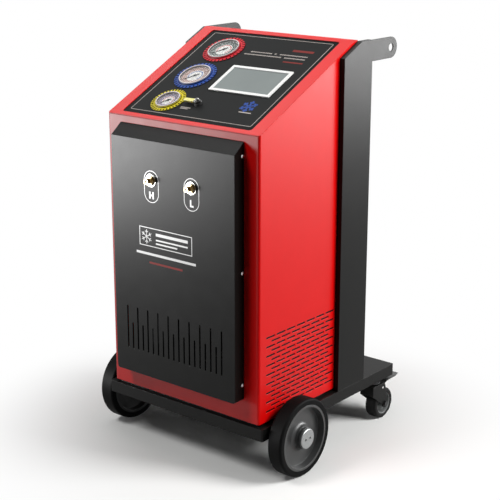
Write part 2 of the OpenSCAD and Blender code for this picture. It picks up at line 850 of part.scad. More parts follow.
// Nut that keeps the lever on its spindle
module bleed_nut() color(bright_steel) place() on_panel(-valve_x, valve_s)
  translate([0, 0, valve_h + lever_t + 2 * move_gap]) difference() {
    cylinder(r = 5, h = nut_t, $fn = 6);
    translate([0, 0, -1]) cylinder(r = spindle_r + drop_gap, h = nut_t + 2);
  }

// Steel axle with a shoulder inside each wheel
module wheel_axle() color(bright_steel) place() translate([0, wheel_y, wheel_r]) {
  shoulder = 3;
  along_x() cylinder(d = axle_d, h = 2 * axle_end, center = true);
  for (side = [-1, 1]) translate([side * (wheel_in - move_gap - shoulder / 2), 0, 0])
    along_x() cylinder(d = axle_d + 10, h = shoulder, center = true);
}

// Brackets that carry the axle under the base
module axle_brackets() color(black_paint) place() for (side = [-1, 1])
  translate([side * bracket_x, 0, 0]) difference() {
    cheek = axle_d / 2 + 8;
    tongue = bracket_bolt_y + 8;
    across(bracket_w) intersection() {
      union() {
        translate([wheel_y, wheel_r]) circle(cheek);
        translate([wheel_y - cheek, wheel_r]) square([2 * cheek, base_z - wheel_r]);
        translate([wheel_y - tongue, base_z - bracket_flange]) square([2 * tongue, bracket_flange]);
      }
      translate([wheel_y - tongue, 0]) square([2 * tongue, base_z]);
    }
    translate([0, wheel_y, wheel_r]) along_x()
      cylinder(d = axle_d + 2 * drop_gap, h = 2 * bracket_w, center = true);
    for (y = bracket_bolts()) translate([0, y, base_z - bracket_flange - 1])
      cylinder(d = bracket_bolt_d + 2 * drop_gap, h = bracket_flange + 2);
  }

// Bright caps on the axle ends, each with two spanner holes
module axle_caps() color(bright_steel) place() for (side = [-1, 1])
  on_side(side) translate([axle_end, wheel_y, wheel_r]) along_x() difference() {
    rotate_extrude() polygon([
      [0, 0], [cap_d / 2, 0], [cap_d / 2, cap_t - 1.5], [cap_d / 2 - 1.5, cap_t], [0, cap_t]
    ]);
    for (x = [-1, 1]) translate([0, x * cap_d / 6, cap_t / 2]) cylinder(d = cap_hole, h = cap_t);
  }

// Puts a wheel, drawn about Z with +Z outward, on its end of the axle
module on_axle(side) on_side(side) translate([wheel_x, wheel_y, wheel_r]) along_x() children();

// Solid tyre with rounded shoulders
module tyre() {
  seat = dish_d / 2 + rim_w + drop_gap;
  shoulder = 5;
  depth = wheel_r - seat;
  rotate_extrude() {
    translate([seat + depth / 2, 0]) rounded(depth, wheel_w, shoulder);
    translate([seat, -wheel_w / 2]) square([depth / 2, wheel_w]);
  }
}

module left_tyre() color(grey_rubber) place() on_axle(-1) tyre();
module right_tyre() color(grey_rubber) place() on_axle(1) tyre();

// Moulded wheel disc: rim ring, dished web, flared hub and bore
module wheel_disc() {
  half = wheel_w / 2;
  web = half - dish_depth;
  web_t = 8;
  rim = dish_d / 2;
  hub = hub_d / 2;
  flare = 9;
  rotate_extrude() difference() {
    union() {
      polygon([
        [0, -half], [hub, -half], [hub, web - web_t], [rim - 3, web - web_t], [rim, -half + 1],
        [rim + rim_w, -half + 1], [rim + rim_w, half - 0.5], [rim, half - 0.5], [rim - 3, web],
        [hub - 1, web], [hub - 2, half + hub_proud], [0, half + hub_proud]
      ]);
      difference() {
        translate([hub - 2, web - 1]) square([flare, flare + 1]);
        translate([hub - 1 + flare, web + flare]) circle(flare);
      }
    }
    translate([-1, -wheel_w]) square([1 + axle_d / 2 + run_play, 2 * wheel_w]);
  }
}

module left_wheel_disc() color(grey_rubber) place() on_axle(-1) wheel_disc();
module right_wheel_disc() color(grey_rubber) place() on_axle(1) wheel_disc();

// Puts a caster piece, drawn from the swivel axis, under its corner of the base
module at_caster(side) on_side(side) translate([caster_x, caster_y, 0]) children();

// Fixed head: swivel race, kingpin with its rivet head, and the nut on the base flange
module caster_head() {
  rivet_z = fork_low - move_gap - rivet_t;
  translate([0, 0, base_z - race_t]) rotate_extrude() polygon([
    [0, 0], [race_d / 2 - 3, 0], [race_d / 2, 3], [race_d / 2, race_t], [0, race_t]
  ]);
  translate([0, 0, rivet_z]) cylinder(d = kingpin_d, h = base_z + base_sheet + 10 - rivet_z);
  translate([0, 0, rivet_z]) cylinder(d = kingpin_d + 6, h = rivet_t);
  translate([0, 0, base_z + base_sheet]) cylinder(d = kingpin_d * 1.8, h = 8, $fn = 6);
}

module left_caster_head() color(bright_steel) place() at_caster(-1) caster_head();
module right_caster_head() color(bright_steel) place() at_caster(1) caster_head();

// Pressed fork: round top plate, two tapering legs and a web in front
module caster_fork() difference() {
  union() {
    translate([0, 0, fork_low]) linear_extrude(fork_t) {
      circle(race_d / 2);
      translate([-leg_out, -leg_front]) square([2 * leg_out, leg_front + leg_back]);
    }
    for (x = [-1, 1]) translate([x * (leg_in + leg_t / 2), 0, 0]) across(leg_t) {
      boss = caster_axle_d / 2 + 6;
      polygon([
        [-leg_front, fork_top], [leg_back, fork_top], [caster_trail + boss, caster_r],
        [caster_trail - boss, caster_r], [-leg_front, fork_top - leg_low]
      ]);
      translate([caster_trail, caster_r]) circle(boss);
    }
    translate([-leg_out, -leg_front, fork_top - leg_low]) cube([2 * leg_out, leg_t, leg_low]);
  }
  translate([0, 0, fork_low - 1]) cylinder(d = kingpin_d + 2 * run_play, h = fork_t + 2);
  translate([0, caster_trail, caster_r]) along_x()
    cylinder(d = caster_axle_d + 2 * drop_gap, h = 3 * leg_out, center = true);
  translate([0, pivot_y - caster_y, pivot_z]) along_x()
    cylinder(d = pivot_d + 2 * run_play, h = 3 * leg_out, center = true);
}

module left_caster_fork() color(black_paint) place() at_caster(-1) caster_fork();
module right_caster_fork() color(black_paint) place() at_caster(1) caster_fork();

// Caster wheel: rubber tread over a dished hub
module caster_wheel() translate([0, caster_trail, caster_r]) along_x() {
  half = caster_w / 2;
  hub = caster_axle_d / 2 + 6;
  felloe = caster_r - 11;
  rotate_extrude() difference() {
    union() {
      translate([caster_r - 7, 0]) rounded(14, caster_w, 5);
      translate([felloe, -half + 1]) square([8, caster_w - 2]);
      translate([0, -4]) square([felloe, 8]);
      translate([0, -half - 1]) square([hub, caster_w + 2]);
    }
    translate([-1, -caster_w]) square([1 + caster_axle_d / 2 + run_play, 2 * caster_w]);
  }
}

module left_caster_wheel() color(black_plastic) place() at_caster(-1) caster_wheel();
module right_caster_wheel() color(black_plastic) place() at_caster(1) caster_wheel();

// Through bolt of a caster wheel, with head and nut outside the legs
module caster_axle() translate([0, caster_trail, caster_r]) along_x() {
  cylinder(d = caster_axle_d, h = 2 * leg_out + 8, center = true);
  for (x = [-1, 1]) translate([0, 0, x * (leg_out + 2)])
    cylinder(d = caster_axle_d * 1.7, h = 4, center = true, $fn = 6);
}

module left_caster_axle() color(bright_steel) place() at_caster(-1) caster_axle();
module right_caster_axle() color(bright_steel) place() at_caster(1) caster_axle();

// Brake pedal on its cross pin, with the shoe over the tread and a raised tip
module brake_pedal() {
  start = pivot_y - caster_y;
  plate_z = pivot_z + pedal_lift;
  high_z = base_z - pedal_drop;
  neck_end = start + 25;
  bend = leg_back - 1;
  shoe = [start + 13, start + 22];
  tip_rise = 7;
  tip_len = 14;
  translate([0, start, pivot_z]) along_x() {
    cylinder(d = pivot_d, h = 2 * leg_out, center = true);
    cylinder(d = pivot_d + 4, h = 2 * leg_in - 2 * move_gap, center = true);
  }
  across(2 * leg_in - 2 * move_gap) {
    polygon([
      [start, plate_z], [bend, plate_z], [neck_end, high_z], [neck_end + pedal_t, high_z],
      [neck_end + pedal_t, high_z + pedal_t], [neck_end - 1, high_z + pedal_t],
      [bend - 1, plate_z + pedal_t], [start, plate_z + pedal_t]
    ]);
    polygon([
      [shoe[0], plate_z - shoe_drop], [shoe[1], plate_z - shoe_drop], [shoe[1], high_z],
      [shoe[0], plate_z + pedal_t]
    ]);
  }
  across(pedal_w) polygon([
    [neck_end, high_z], [pedal_reach - tip_len + 3, high_z], [pedal_reach, high_z + tip_rise],
    [pedal_reach - 3, high_z + tip_rise + 1], [pedal_reach - tip_len, high_z + pedal_t],
    [neck_end, high_z + pedal_t]
  ]);
}

module left_brake_pedal() color(black_plastic) place() at_caster(-1) brake_pedal();
module right_brake_pedal() color(black_plastic) place() at_caster(1) brake_pedal();

// Appliance inlet and the frame of the rocker switch, set in the back wall
socket_w = 30;
socket_h = 21;
socket_deep = 20;
inlet_deep = 22;
pin_w = 8;
pin_t = 2;
pin_len = 13;
socket_y = cab_d + fitting_t - socket_deep;
rocker_half = rocker_h / 2 - 5.4;
rocker_body = rocker_w - 8;
rocker_pin = 1.5;
module power_inlet() color(black_plastic) place() {
  difference() {
    union() {
      translate([inlet_x, cab_d + fitting_t / 2, fitting_z])
        cube([inlet_w, fitting_t, inlet_h], center = true);
      translate([inlet_x, cab_d - inlet_deep / 2, fitting_z])
        cube([inlet_w - 8 - 2 * drop_gap, inlet_deep, inlet_h - 6 - 2 * drop_gap], center = true);
    }
    translate([inlet_x - socket_w / 2, socket_y, fitting_z - socket_h / 2])
      cube([socket_w, socket_deep + 1, socket_h]);
  }
  for (pin = [[-6.5, -4], [0, 4], [6.5, -4]])
    translate([inlet_x + pin[0] - pin_w / 2, socket_y, fitting_z + pin[1] - pin_t / 2])
      cube([pin_w, pin_len, pin_t]);
  difference() {
    union() {
      translate([rocker_x, cab_d + fitting_t / 2, fitting_z])
        cube([rocker_w, fitting_t, rocker_h], center = true);
      translate([rocker_x, cab_d - 8, fitting_z])
        cube([rocker_w - 4 - 2 * drop_gap, 16, rocker_h - 4 - 2 * drop_gap], center = true);
    }
    translate([rocker_x, cab_d, fitting_z]) cube([rocker_body, 30, 2 * rocker_half + 2.6], center = true);
    translate([rocker_x, cab_d, fitting_z]) along_x()
      cylinder(r = rocker_pin + run_play, h = rocker_body + 4, center = true);
  }
}

// Rocker of the mains switch, resting tilted to its off side
module power_switch() color("#202020") place() translate([rocker_x, cab_d, fitting_z]) {
  along_x() cylinder(r = rocker_pin, h = rocker_body + 3, center = true);
  rotate([-rocker_tilt, 0, 0]) across(rocker_body - 2 * move_gap)
    polygon([[-7, -rocker_half + 0.5], [4.5, -rocker_half], [2.5, 0], [4.5, rocker_half],
      [-7, rocker_half - 0.5]]);
}

// Half outline of a round vessel with curved ends, drawn in by inset
module vessel_half(r, h, knuckle, inset) intersection() {
  translate([0, h / 2]) rounded(2 * r - 2 * inset, h - 2 * inset, knuckle - inset);
  square([r, h]);
}

// Hollow recovery tank with foot ring and valve
module recovery_tank() color("#d8d4c4") place() translate([tank_x, tank_y, tank_z]) {
  rotate_extrude() difference() {
    vessel_half(tank_r, tank_h, 50, 0);
    vessel_half(tank_r, tank_h, 50, tank_wall);
  }
  translate([0, 0, -tank_foot]) rotate_extrude() translate([tank_r * 0.7, 0]) square([3, tank_foot + 14]);
  translate([0, 0, tank_h - 1]) cylinder(r = 12, h = tank_neck + 1);
}

// Weighing platform: load cell bar between a foot and the plate under the tank
module tank_scale() color("#b8bcc0") place() translate([tank_x, tank_y, base_top]) {
  bar = 12;
  bar_w = tank_r / 3;
  bar_len = tank_r * 1.4;
  pad = bar_len * 0.3;
  step = (scale_h - bar) / 2;
  translate([-bar_w / 2, -bar_len / 2, 0]) cube([bar_w, pad, step]);
  translate([-bar_w / 2, -bar_len / 2, step]) cube([bar_w, bar_len, bar]);
  translate([-bar_w / 2, bar_len / 2 - pad, step + bar]) cube([bar_w, pad, step]);
  translate([0, 0, scale_h]) cylinder(r = tank_r - 8, h = scale_t);
}

// Hermetic compressor on a foot plate and three mounts
module compressor() color("#202022") place() translate([tank_x, comp_y, base_top]) {
  translate([0, 0, comp_foot]) rotate_extrude() difference() {
    vessel_half(comp_r, comp_h, 36, 0);
    vessel_half(comp_r, comp_h, 36, 4);
  }
  plate_t = 5;
  plate_z = comp_foot + 1 - plate_t;
  translate([0, 0, plate_z]) cylinder(r = comp_r, h = plate_t);
  for (k = [0 : 2]) rotate([0, 0, 90 + k * 120]) translate([comp_r - 12, 0, 0])
    cylinder(r = 8, h = plate_z + 1);
}

// Vacuum pump: motor, pump head and oil case on one foot
module vacuum_pump() color("#5c646c") place() translate([pump_x, pump_y, pump_z]) {
  foot_h = pump_z - base_top;
  rotate([-90, 0, 0]) {
    cylinder(r = pump_r, h = pump_len * 0.6);
    translate([0, 0, pump_len * 0.6]) cylinder(r = pump_r * 0.8, h = pump_len * 0.4);
    for (k = [1 : 6]) translate([0, 0, k * pump_len / 12]) cylinder(r = pump_r + pump_fin, h = pump_fin);
  }
  translate([-pump_r * 0.7, 10, -foot_h]) cube([pump_r * 1.4, pump_len * 0.8, foot_h - pump_r * 0.6]);
  translate([0, pump_len * 0.8, pump_r * 0.5]) cylinder(r = 8, h = pump_r * 0.5);
}

// Finned condenser block beside the right-hand vents
module condenser() color("#a9adb0") place() translate([cond_x, cond_y, cond_z]) difference() {
  fins = 18;
  cube([cond_t, cond_w, cond_h], center = true);
  for (k = [1 : fins - 1]) translate([cond_t / 4, (k / fins - 0.5) * (cond_w - 10), 0])
    cube([cond_t, 8, cond_h - 24], center = true);
}

// Fan motor on a four-armed bracket that stands on the condenser's face
module fan_motor() color("#3a3d40") place() translate([fan_x, cond_y, cond_z]) {
  motor_gap = 4;
  motor_len = 26;
  plate_t = 4;
  plate_x = -fan_w / 2 - motor_gap - plate_t;
  spread = fan_r * 0.8;
  face = cond_x - cond_t / 2 - fan_x;
  translate([plate_x, 0, 0]) along_x() {
    translate([0, 0, plate_t - 1 - motor_len]) cylinder(r = 28, h = motor_len);
    linear_extrude(plate_t) for (a = [-45, 45]) rotate(a) slot(2 * spread * sqrt(2) + 13, 13);
    cylinder(d = fan_shaft, h = fan_w / 2 - plate_x);
    for (y = [-1, 1], z = [-1, 1]) translate([z * spread, y * spread, 1])
      cylinder(r = 5, h = face - plate_x - 1);
  }
}

// Fan: hub and five pitched blades on the motor shaft
module cooling_fan() color("#dddddd") place() translate([fan_x, cond_y, cond_z]) along_x() difference() {
  union() {
    cylinder(r = 18, h = fan_w, center = true);
    intersection() {
      for (k = [0 : 4]) rotate([0, 0, k * 72]) translate([fan_r / 2, 0, 0]) rotate([24, 0, 0])
        cube([fan_r, 26, 2], center = true);
      cylinder(r = fan_r, h = fan_w, center = true);
    }
  }
  cylinder(d = fan_shaft + 2 * run_play, h = 2 * fan_w, center = true);
}

// Filter drier held by a strap from the left wall
module filter_drier() color("#2f6b46") place() translate([tank_x, comp_y, drier_z]) {
  rotate_extrude() vessel_half(drier_r, drier_h, 14, 0);
  translate([0, 0, drier_h / 2 - 10]) cylinder(r = drier_r + 2, h = 20);
  translate([-wall_in - tank_x, -8, drier_h / 2 - 10]) cube([wall_in + tank_x - drier_r, 16, 20]);
}

// Valve manifold on a plate across the service opening
module valve_manifold() color("#b9bdc2") place() {
  translate([-plate_w / 2, cab_sheet, block_z - plate_h / 2]) cube([plate_w, block_y - cab_sheet, plate_h]);
  translate([block_x - block_w / 2, block_y, block_z - block_h / 2]) cube([block_w, block_d, block_h]);
}

// Solenoid coils on top of the manifold
module solenoid_coils() color("#1d2733") place() for (k = [0 : 2])
  translate([block_x + coil_pitch / 3 + k * coil_pitch, block_y + block_d / 2, block_z + block_h / 2]) {
    cylinder(r = coil_r, h = coil_h);
    translate([0, 0, coil_h]) cylinder(r = coil_r * 0.4, h = coil_h / 5);
  }

// Control board on four posts under the display
module control_board() color("#1f5a34") place() on_panel(screen_x, screen_s) {
  under = -panel_t - board_drop;
  translate([0, 0, under - board_t / 2]) cube([board_w, board_len, board_t], center = true);
  for (x = [-1, 1], y = [-1, 1]) translate([x * (board_w / 2 - 6), y * (board_len / 2 - 6), under])
    cylinder(r = 3, h = board_drop);
  translate([-50, -20, under]) cube([30, 24, 8]);
  translate([10, -30, under]) cube([40, 50, 14]);
}

// Straight length of tube between two points
module tube(a, b) {
  d = b - a;
  translate(a) rotate([0, acos(d[2] / norm(d)), atan2(d[1], d[0])]) cylinder(r = tube_r, h = norm(d));
}

// Tube run through a list of points, with a brazed elbow ball at each bend
module tube_run(points) {
  for (k = [1 : len(points) - 1]) tube(points[k - 1], points[k]);
  for (k = [1 : len(points) - 2]) translate(points[k]) sphere(tube_r * 1.5);
}

// Point on a gauge's axis, the given distance below its stem
function under_stem(s, below) = let (h = -cab_sheet - panel_seat - case_depth - stem_len - below)
  [-gauge_x, s * cos(slope_angle) - h * sin(slope_angle),
    front_top + s * sin(slope_angle) + h * cos(slope_angle)];

// Copper lines between gauges, manifold, drier, tank, condenser and pump
module refrigerant_lines() color(copper_metal) place() {
  block_mid = block_y + block_d / 2;
  block_back = block_y + block_d;
  block_top = block_z + block_h / 2;
  block_left = block_x - block_w / 2;
  block_right = block_x + block_w / 2;
  low_row = block_z - block_h / 5;
  line_pitch = 3 * tube_r;
  for (k = [0 : 2]) {
    e = under_stem(gauges[k][0], 2.5 * tube_r);
    turn = block_top + (4 + k) * line_pitch;
    x = block_left + (1 + k) * line_pitch;
    tube_run([
      under_stem(gauges[k][0], 0), e, [e[0], e[1], turn], [e[0], block_mid, turn],
      [x, block_mid, turn], [x, block_mid, block_top]
    ]);
  }
  tube([tank_x, comp_y, comp_top], [tank_x, comp_y, drier_z]);
  tube_run([
    [tank_x, comp_y, drier_z + drier_h], [tank_x, comp_y, block_z],
    [tank_x, block_mid, block_z], [block_left, block_mid, block_z]
  ]);
  tank_line = block_left + 5 * line_pitch;
  tube_run([
    [tank_x, tank_y, tank_z + tank_h + tank_neck], [tank_x, tank_y, low_row],
    [tank_line, tank_y, low_row], [tank_line, block_back, low_row]
  ]);
  tube_run([
    [cond_x, cond_y, cond_z + cond_h / 2], [cond_x, cond_y, block_z],
    [cond_x, block_mid, block_z], [block_right, block_mid, block_z]
  ]);
  pump_port = pump_y + pump_len * 0.8;
  tube_run([[pump_x, pump_port, pump_z + pump_r], [pump_x, pump_port, low_row],
    [pump_x, block_back, low_row]]);
}

base_tray();
left_post();
right_post();
frame_bolts();
cabinet_shell();
console_top();
rear_panel();
front_cover();
panel_screws();
high_side_port();
low_side_port();
port_washers();
control_panel();
display_frame();
display_screen();
red_gauge_boot();
blue_gauge_boot();
yellow_gauge_boot();
red_gauge_case();
blue_gauge_case();
yellow_gauge_case();
gauge_dials();
gauge_lenses();
red_needle();
blue_needle();
yellow_needle();
bleed_valve();
bleed_lever();
bleed_nut();
wheel_axle();
axle_brackets();
axle_caps();
left_tyre();
right_tyre();
left_wheel_disc();
right_wheel_disc();
left_caster_head();
right_caster_head();
left_caster_fork();
right_caster_fork();
left_caster_wheel();
right_caster_wheel();
left_caster_axle();
right_caster_axle();
left_brake_pedal();
right_brake_pedal();
power_inlet();
power_switch();
recovery_tank();
tank_scale();
compressor();
vacuum_pump();
condenser();
fan_motor();
cooling_fan();
filter_drier();
valve_manifold();
solenoid_coils();
control_board();
refrigerant_lines();
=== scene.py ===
import math

import bmesh
import bpy
from mathutils import Matrix, Vector


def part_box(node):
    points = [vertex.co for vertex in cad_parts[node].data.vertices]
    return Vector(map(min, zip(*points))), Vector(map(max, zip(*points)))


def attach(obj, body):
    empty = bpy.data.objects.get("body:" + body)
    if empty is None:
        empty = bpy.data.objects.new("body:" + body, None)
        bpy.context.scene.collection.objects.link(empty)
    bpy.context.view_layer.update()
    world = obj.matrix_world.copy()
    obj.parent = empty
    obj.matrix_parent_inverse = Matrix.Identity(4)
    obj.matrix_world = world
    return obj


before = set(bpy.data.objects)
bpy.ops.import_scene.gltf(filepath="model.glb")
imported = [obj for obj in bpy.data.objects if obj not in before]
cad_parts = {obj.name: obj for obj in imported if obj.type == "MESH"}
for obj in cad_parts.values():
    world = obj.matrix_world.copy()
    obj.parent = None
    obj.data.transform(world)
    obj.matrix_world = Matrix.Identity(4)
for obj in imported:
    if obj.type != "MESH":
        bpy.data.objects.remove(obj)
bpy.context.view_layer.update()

# Base tray, posts, front cover, axle brackets and caster forks: folded mild steel
# sheet, bolted together, in black polyester powder coat with a fine satin texture.
# The coat gives a soft grey sheen, a faint grain and slightly rounded edges.


def linear(code):
    parts = [int(code[k:k + 2], 16) / 255 for k in (1, 3, 5)]
    return [c / 12.92 if c <= 0.04045 else ((c + 0.055) / 1.055) ** 2.4 for c in parts] + [1.0]


def plug(mat, node, inputs):
    for name, value in inputs.items():
        if isinstance(value, bpy.types.NodeSocket):
            mat.node_tree.links.new(value, node.inputs[name])
        else:
            node.inputs[name].default_value = value


def add(mat, kind, inputs, **settings):
    node = mat.node_tree.nodes.new(kind)
    for name, value in settings.items():
        setattr(node, name, value)
    plug(mat, node, inputs)
    return node


def finish(name):
    mat = bpy.data.materials.new(name)
    mat.use_nodes = True
    return mat, mat.node_tree.nodes["Principled BSDF"], add(mat, "ShaderNodeTexCoord", {})


def coat(mat, *names):
    for name in names:
        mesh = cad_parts[name].data
        mesh.materials.clear()
        mesh.materials.append(mat)


# Sockets of a Mix node that mixes two colours: its share, both colours and the result
share, first, second, mixed = 0, 6, 7, 2
black_coat, gloss, spot = finish("black_powder_coat")
# Grain of the texture coat is about 1 mm, drawn at 3 mm so that it shows
grain = add(black_coat, "ShaderNodeTexNoise",
            {"Vector": spot.outputs["Object"], "Scale": 1 / 0.003, "Detail": 3.0})
# Uneven film thickness, patches of about 30 mm
cloud = add(black_coat, "ShaderNodeTexNoise",
            {"Vector": spot.outputs["Object"], "Scale": 1 / 0.03, "Detail": 4.0})
tone = add(black_coat, "ShaderNodeMix",
           {share: grain.outputs["Fac"], first: linear("#0e0e0d"), second: linear("#161615")},
           data_type="RGBA")
rough = add(black_coat, "ShaderNodeMapRange",
            {"Value": cloud.outputs["Fac"], "To Min": 0.3, "To Max": 0.36})
edge = add(black_coat, "ShaderNodeBevel", {"Radius": 0.0012}, samples=4)
bump = add(black_coat, "ShaderNodeBump", {"Height": grain.outputs["Fac"], "Strength": 0.35,
                                          "Distance": 0.0003, "Normal": edge.outputs["Normal"]})
plug(black_coat, gloss, {"Base Color": tone.outputs[mixed], "Roughness": rough.outputs["Result"],
                         "Specular IOR Level": 0.085, "Normal": bump.outputs["Normal"]})
coat(black_coat, "base_tray", "left_post", "right_post", "axle_brackets", "left_caster_fork",
     "right_caster_fork", "front_cover")

# Brake pedals: stamped steel, black coat on top and below, the sheared edges bare.
# The edge faces that point sideways show as bright metal: partly bare steel rubbed by
# shoes and kerbs, partly a painted highlight along the pedal's sides.

pedal_steel, gloss, spot = finish("pedal_steel")
parts = add(pedal_steel, "ShaderNodeSeparateXYZ", {"Vector": spot.outputs["Normal"]})
across = add(pedal_steel, "ShaderNodeMath", {0: parts.outputs["X"]}, operation="ABSOLUTE")
# A sheared edge faces sideways, within about 45 degrees
sideways = 0.7
# Sideways faces get bright metal, partly as a painted highlight
bare_and_highlit = add(pedal_steel, "ShaderNodeMath", {0: across.outputs["Value"], 1: sideways},
           operation="GREATER_THAN")
# Scuffs of about 4 mm
scuff = add(pedal_steel, "ShaderNodeTexNoise",
            {"Vector": spot.outputs["Object"], "Scale": 1 / 0.004, "Detail": 3.0})
paint = add(pedal_steel, "ShaderNodeMix",
            {share: scuff.outputs["Fac"], first: linear("#141414"), second: linear("#202020")},
            data_type="RGBA")
tone = add(pedal_steel, "ShaderNodeMix",
           {share: bare_and_highlit.outputs["Value"], first: paint.outputs[mixed], second: linear("#e4e4e2")},
           data_type="RGBA")
plug(pedal_steel, gloss, {"Base Color": tone.outputs[mixed], "Metallic": bare_and_highlit.outputs["Value"],
                          "Roughness": 0.3})
coat(pedal_steel, "left_brake_pedal", "right_brake_pedal")

# Bolts, screws and front axle: mild steel, bright zinc plate from the barrel.
# Caster heads and caster bolts: steel in black oxide, oiled.
# Both are satin metals with a slightly uneven sheen, one grey and one near black.


def plated(name, colour, patch, smoothest, roughest):
    # The sheen changes over a few millimetres
    plate, gloss, spot = finish(name)
    haze = add(plate, "ShaderNodeTexNoise",
               {"Vector": spot.outputs["Object"], "Scale": 1 / patch, "Detail": 2.0})
    rough = add(plate, "ShaderNodeMapRange",
                {"Value": haze.outputs["Fac"], "To Min": smoothest, "To Max": roughest})
    plug(plate, gloss, {"Base Color": linear(colour), "Metallic": 1.0,
                        "Roughness": rough.outputs["Result"]})
    return plate


zinc = plated("bright_zinc_plate", "#b9bbbd", patch=0.006, smoothest=0.24, roughest=0.42)
coat(zinc, "frame_bolts", "panel_screws", "wheel_axle")
oxide = plated("black_oxide_steel", "#3a3a3b", patch=0.005, smoothest=0.34, roughest=0.5)
coat(oxide, "left_caster_head", "right_caster_head", "left_caster_axle", "right_caster_axle")

# Cabinet shell, console frame and back wall: bent sheet steel in signal red,
# polyester powder coat with a light orange peel, spot welded and screwed.
# A semi-gloss skin that picks up pale sheen from the light beside it.

red_coat, gloss, spot = finish("red_powder_coat")
# Orange peel of about 1.5 mm, drawn at 3 mm so that it shows
peel = add(red_coat, "ShaderNodeTexNoise",
           {"Vector": spot.outputs["Object"], "Scale": 1 / 0.003, "Detail": 2.0})
# Uneven film thickness, patches of about 40 mm
cloud = add(red_coat, "ShaderNodeTexNoise",
            {"Vector": spot.outputs["Object"], "Scale": 1 / 0.04, "Detail": 3.0})
tone = add(red_coat, "ShaderNodeMix",
           {share: cloud.outputs["Fac"], first: linear("#e20505"), second: linear("#eb0706")},
           data_type="RGBA")
rough = add(red_coat, "ShaderNodeMapRange",
            {"Value": cloud.outputs["Fac"], "To Min": 0.38, "To Max": 0.46})
edge = add(red_coat, "ShaderNodeBevel", {"Radius": 0.0015}, samples=4)
bump = add(red_coat, "ShaderNodeBump", {"Height": peel.outputs["Fac"], "Strength": 0.2,
                                        "Distance": 0.0003, "Normal": edge.outputs["Normal"]})
plug(red_coat, gloss, {"Base Color": tone.outputs[mixed], "Roughness": rough.outputs["Result"],
                       "Specular IOR Level": 0.16, "Normal": bump.outputs["Normal"]})
coat(red_coat, "cabinet_shell", "console_top", "rear_panel")

# Vent screens: thin sheets of fine woven steel mesh with a black coat, set behind the
# vents of sides and back. They are painted shade: dark sheets that let no light through,
# so the vents look dark inside.

shade_mesh_coat, gloss, spot = finish("black_shade_mesh")
# Wires about 0.8 mm apart, drawn at 1.6 mm so that they show
weave = add(shade_mesh_coat, "ShaderNodeTexChecker",
            {"Vector": spot.outputs["Object"], "Scale": 1 / 0.0016,
             "Color1": linear("#060606"), "Color2": linear("#0f0f0f")})
bump = add(shade_mesh_coat, "ShaderNodeBump",
           {"Height": weave.outputs["Fac"], "Strength": 0.3, "Distance": 0.0003})
plug(shade_mesh_coat, gloss, {"Base Color": weave.outputs["Color"], "Roughness": 0.6,
                        "Specular IOR Level": 0.1, "Normal": bump.outputs["Normal"]})


def piece(name, bm, place, mat, body):
    bmesh.ops.transform(bm, matrix=place, verts=bm.verts[:])
    mesh = bpy.data.meshes.new(name)
    bm.to_mesh(mesh)
    bm.free()
    mesh.materials.append(mat)
    obj = bpy.data.objects.new(name, mesh)
    bpy.context.scene.collection.objects.link(obj)
    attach(obj, body)


sheet = 0.0015
weave_t = 0.001
side_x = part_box("cabinet_shell")[1].x - sheet - weave_t / 2
rear_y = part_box("rear_panel")[0].y - weave_t / 2
side_size = (weave_t, 0.262, 0.182)
rear_size = (0.2, weave_t, 0.152)
shade_screens = {"left_vent_shade_screen": (side_size, (-side_x, -0.089, 0.238)),
           "right_vent_shade_screen": (side_size, (side_x, -0.089, 0.238)),
           "rear_vent_shade_screen": (rear_size, (0.06, rear_y, 0.276))}
# Dark sheets behind the vents: painted shade inside the cabinet
for name, (size, middle) in shade_screens.items():
    screen = bmesh.new()
    bmesh.ops.create_cube(screen, size=1)
    bmesh.ops.scale(screen, verts=screen.verts[:], vec=size)
    piece(name, screen, Matrix.Translation(middle), shade_mesh_coat, "chassis")

# Marks on the front cover: two-part screen ink, printed straight on the coat.
# A thin flat film: white outlines and a letter at each port, a box with a snow
# star and bars, a white bar and a red bar under it.


def ink(name, dark, light, roughness, sheen, patch=0.0015):
    # The printing screen leaves marks of about 0.2 mm, drawn at 1 mm or more so that they show
    printed, gloss, spot = finish(name)
    uneven = add(printed, "ShaderNodeTexNoise",
                 {"Vector": spot.outputs["Object"], "Scale": 1 / patch})
    tone = add(printed, "ShaderNodeMix",
               {share: uneven.outputs["Fac"], first: linear(dark), second: linear(light)},
               data_type="RGBA")
    plug(printed, gloss, {"Base Color": tone.outputs[mixed], "Roughness": roughness,
                          "Specular IOR Level": sheen})
    return printed


def tile(bm, width, height, corner, at=(0, 0)):
    made = bmesh.ops.create_grid(bm, x_segments=1, y_segments=1, size=0.5)
    verts = made["verts"]
    bmesh.ops.scale(bm, verts=verts, vec=(width, height, 1))
    bmesh.ops.translate(bm, verts=verts, vec=(at[0], at[1], 0))
    if corner:
        bmesh.ops.bevel(bm, geom=verts, offset=corner, affect="VERTICES", segments=8, profile=0.5,
                        material=-1)


def outline(bm, width, height, corner, line, at):
    before = set(bm.faces)
    tile(bm, width, height, corner, at)
    inner = [f for f in bm.faces if f not in before]
    bmesh.ops.inset_region(bm, faces=inner, thickness=line, use_even_offset=True, use_boundary=True)
    bmesh.ops.delete(bm, geom=inner, context="FACES")


def thicken(bm, depth):
    bmesh.ops.solidify(bm, geom=bm.faces[:], thickness=depth)
    low = min(v.co.z for v in bm.verts)
    bmesh.ops.translate(bm, verts=bm.verts[:], vec=(0, 0, -low))
    bmesh.ops.recalc_face_normals(bm, faces=bm.faces[:])


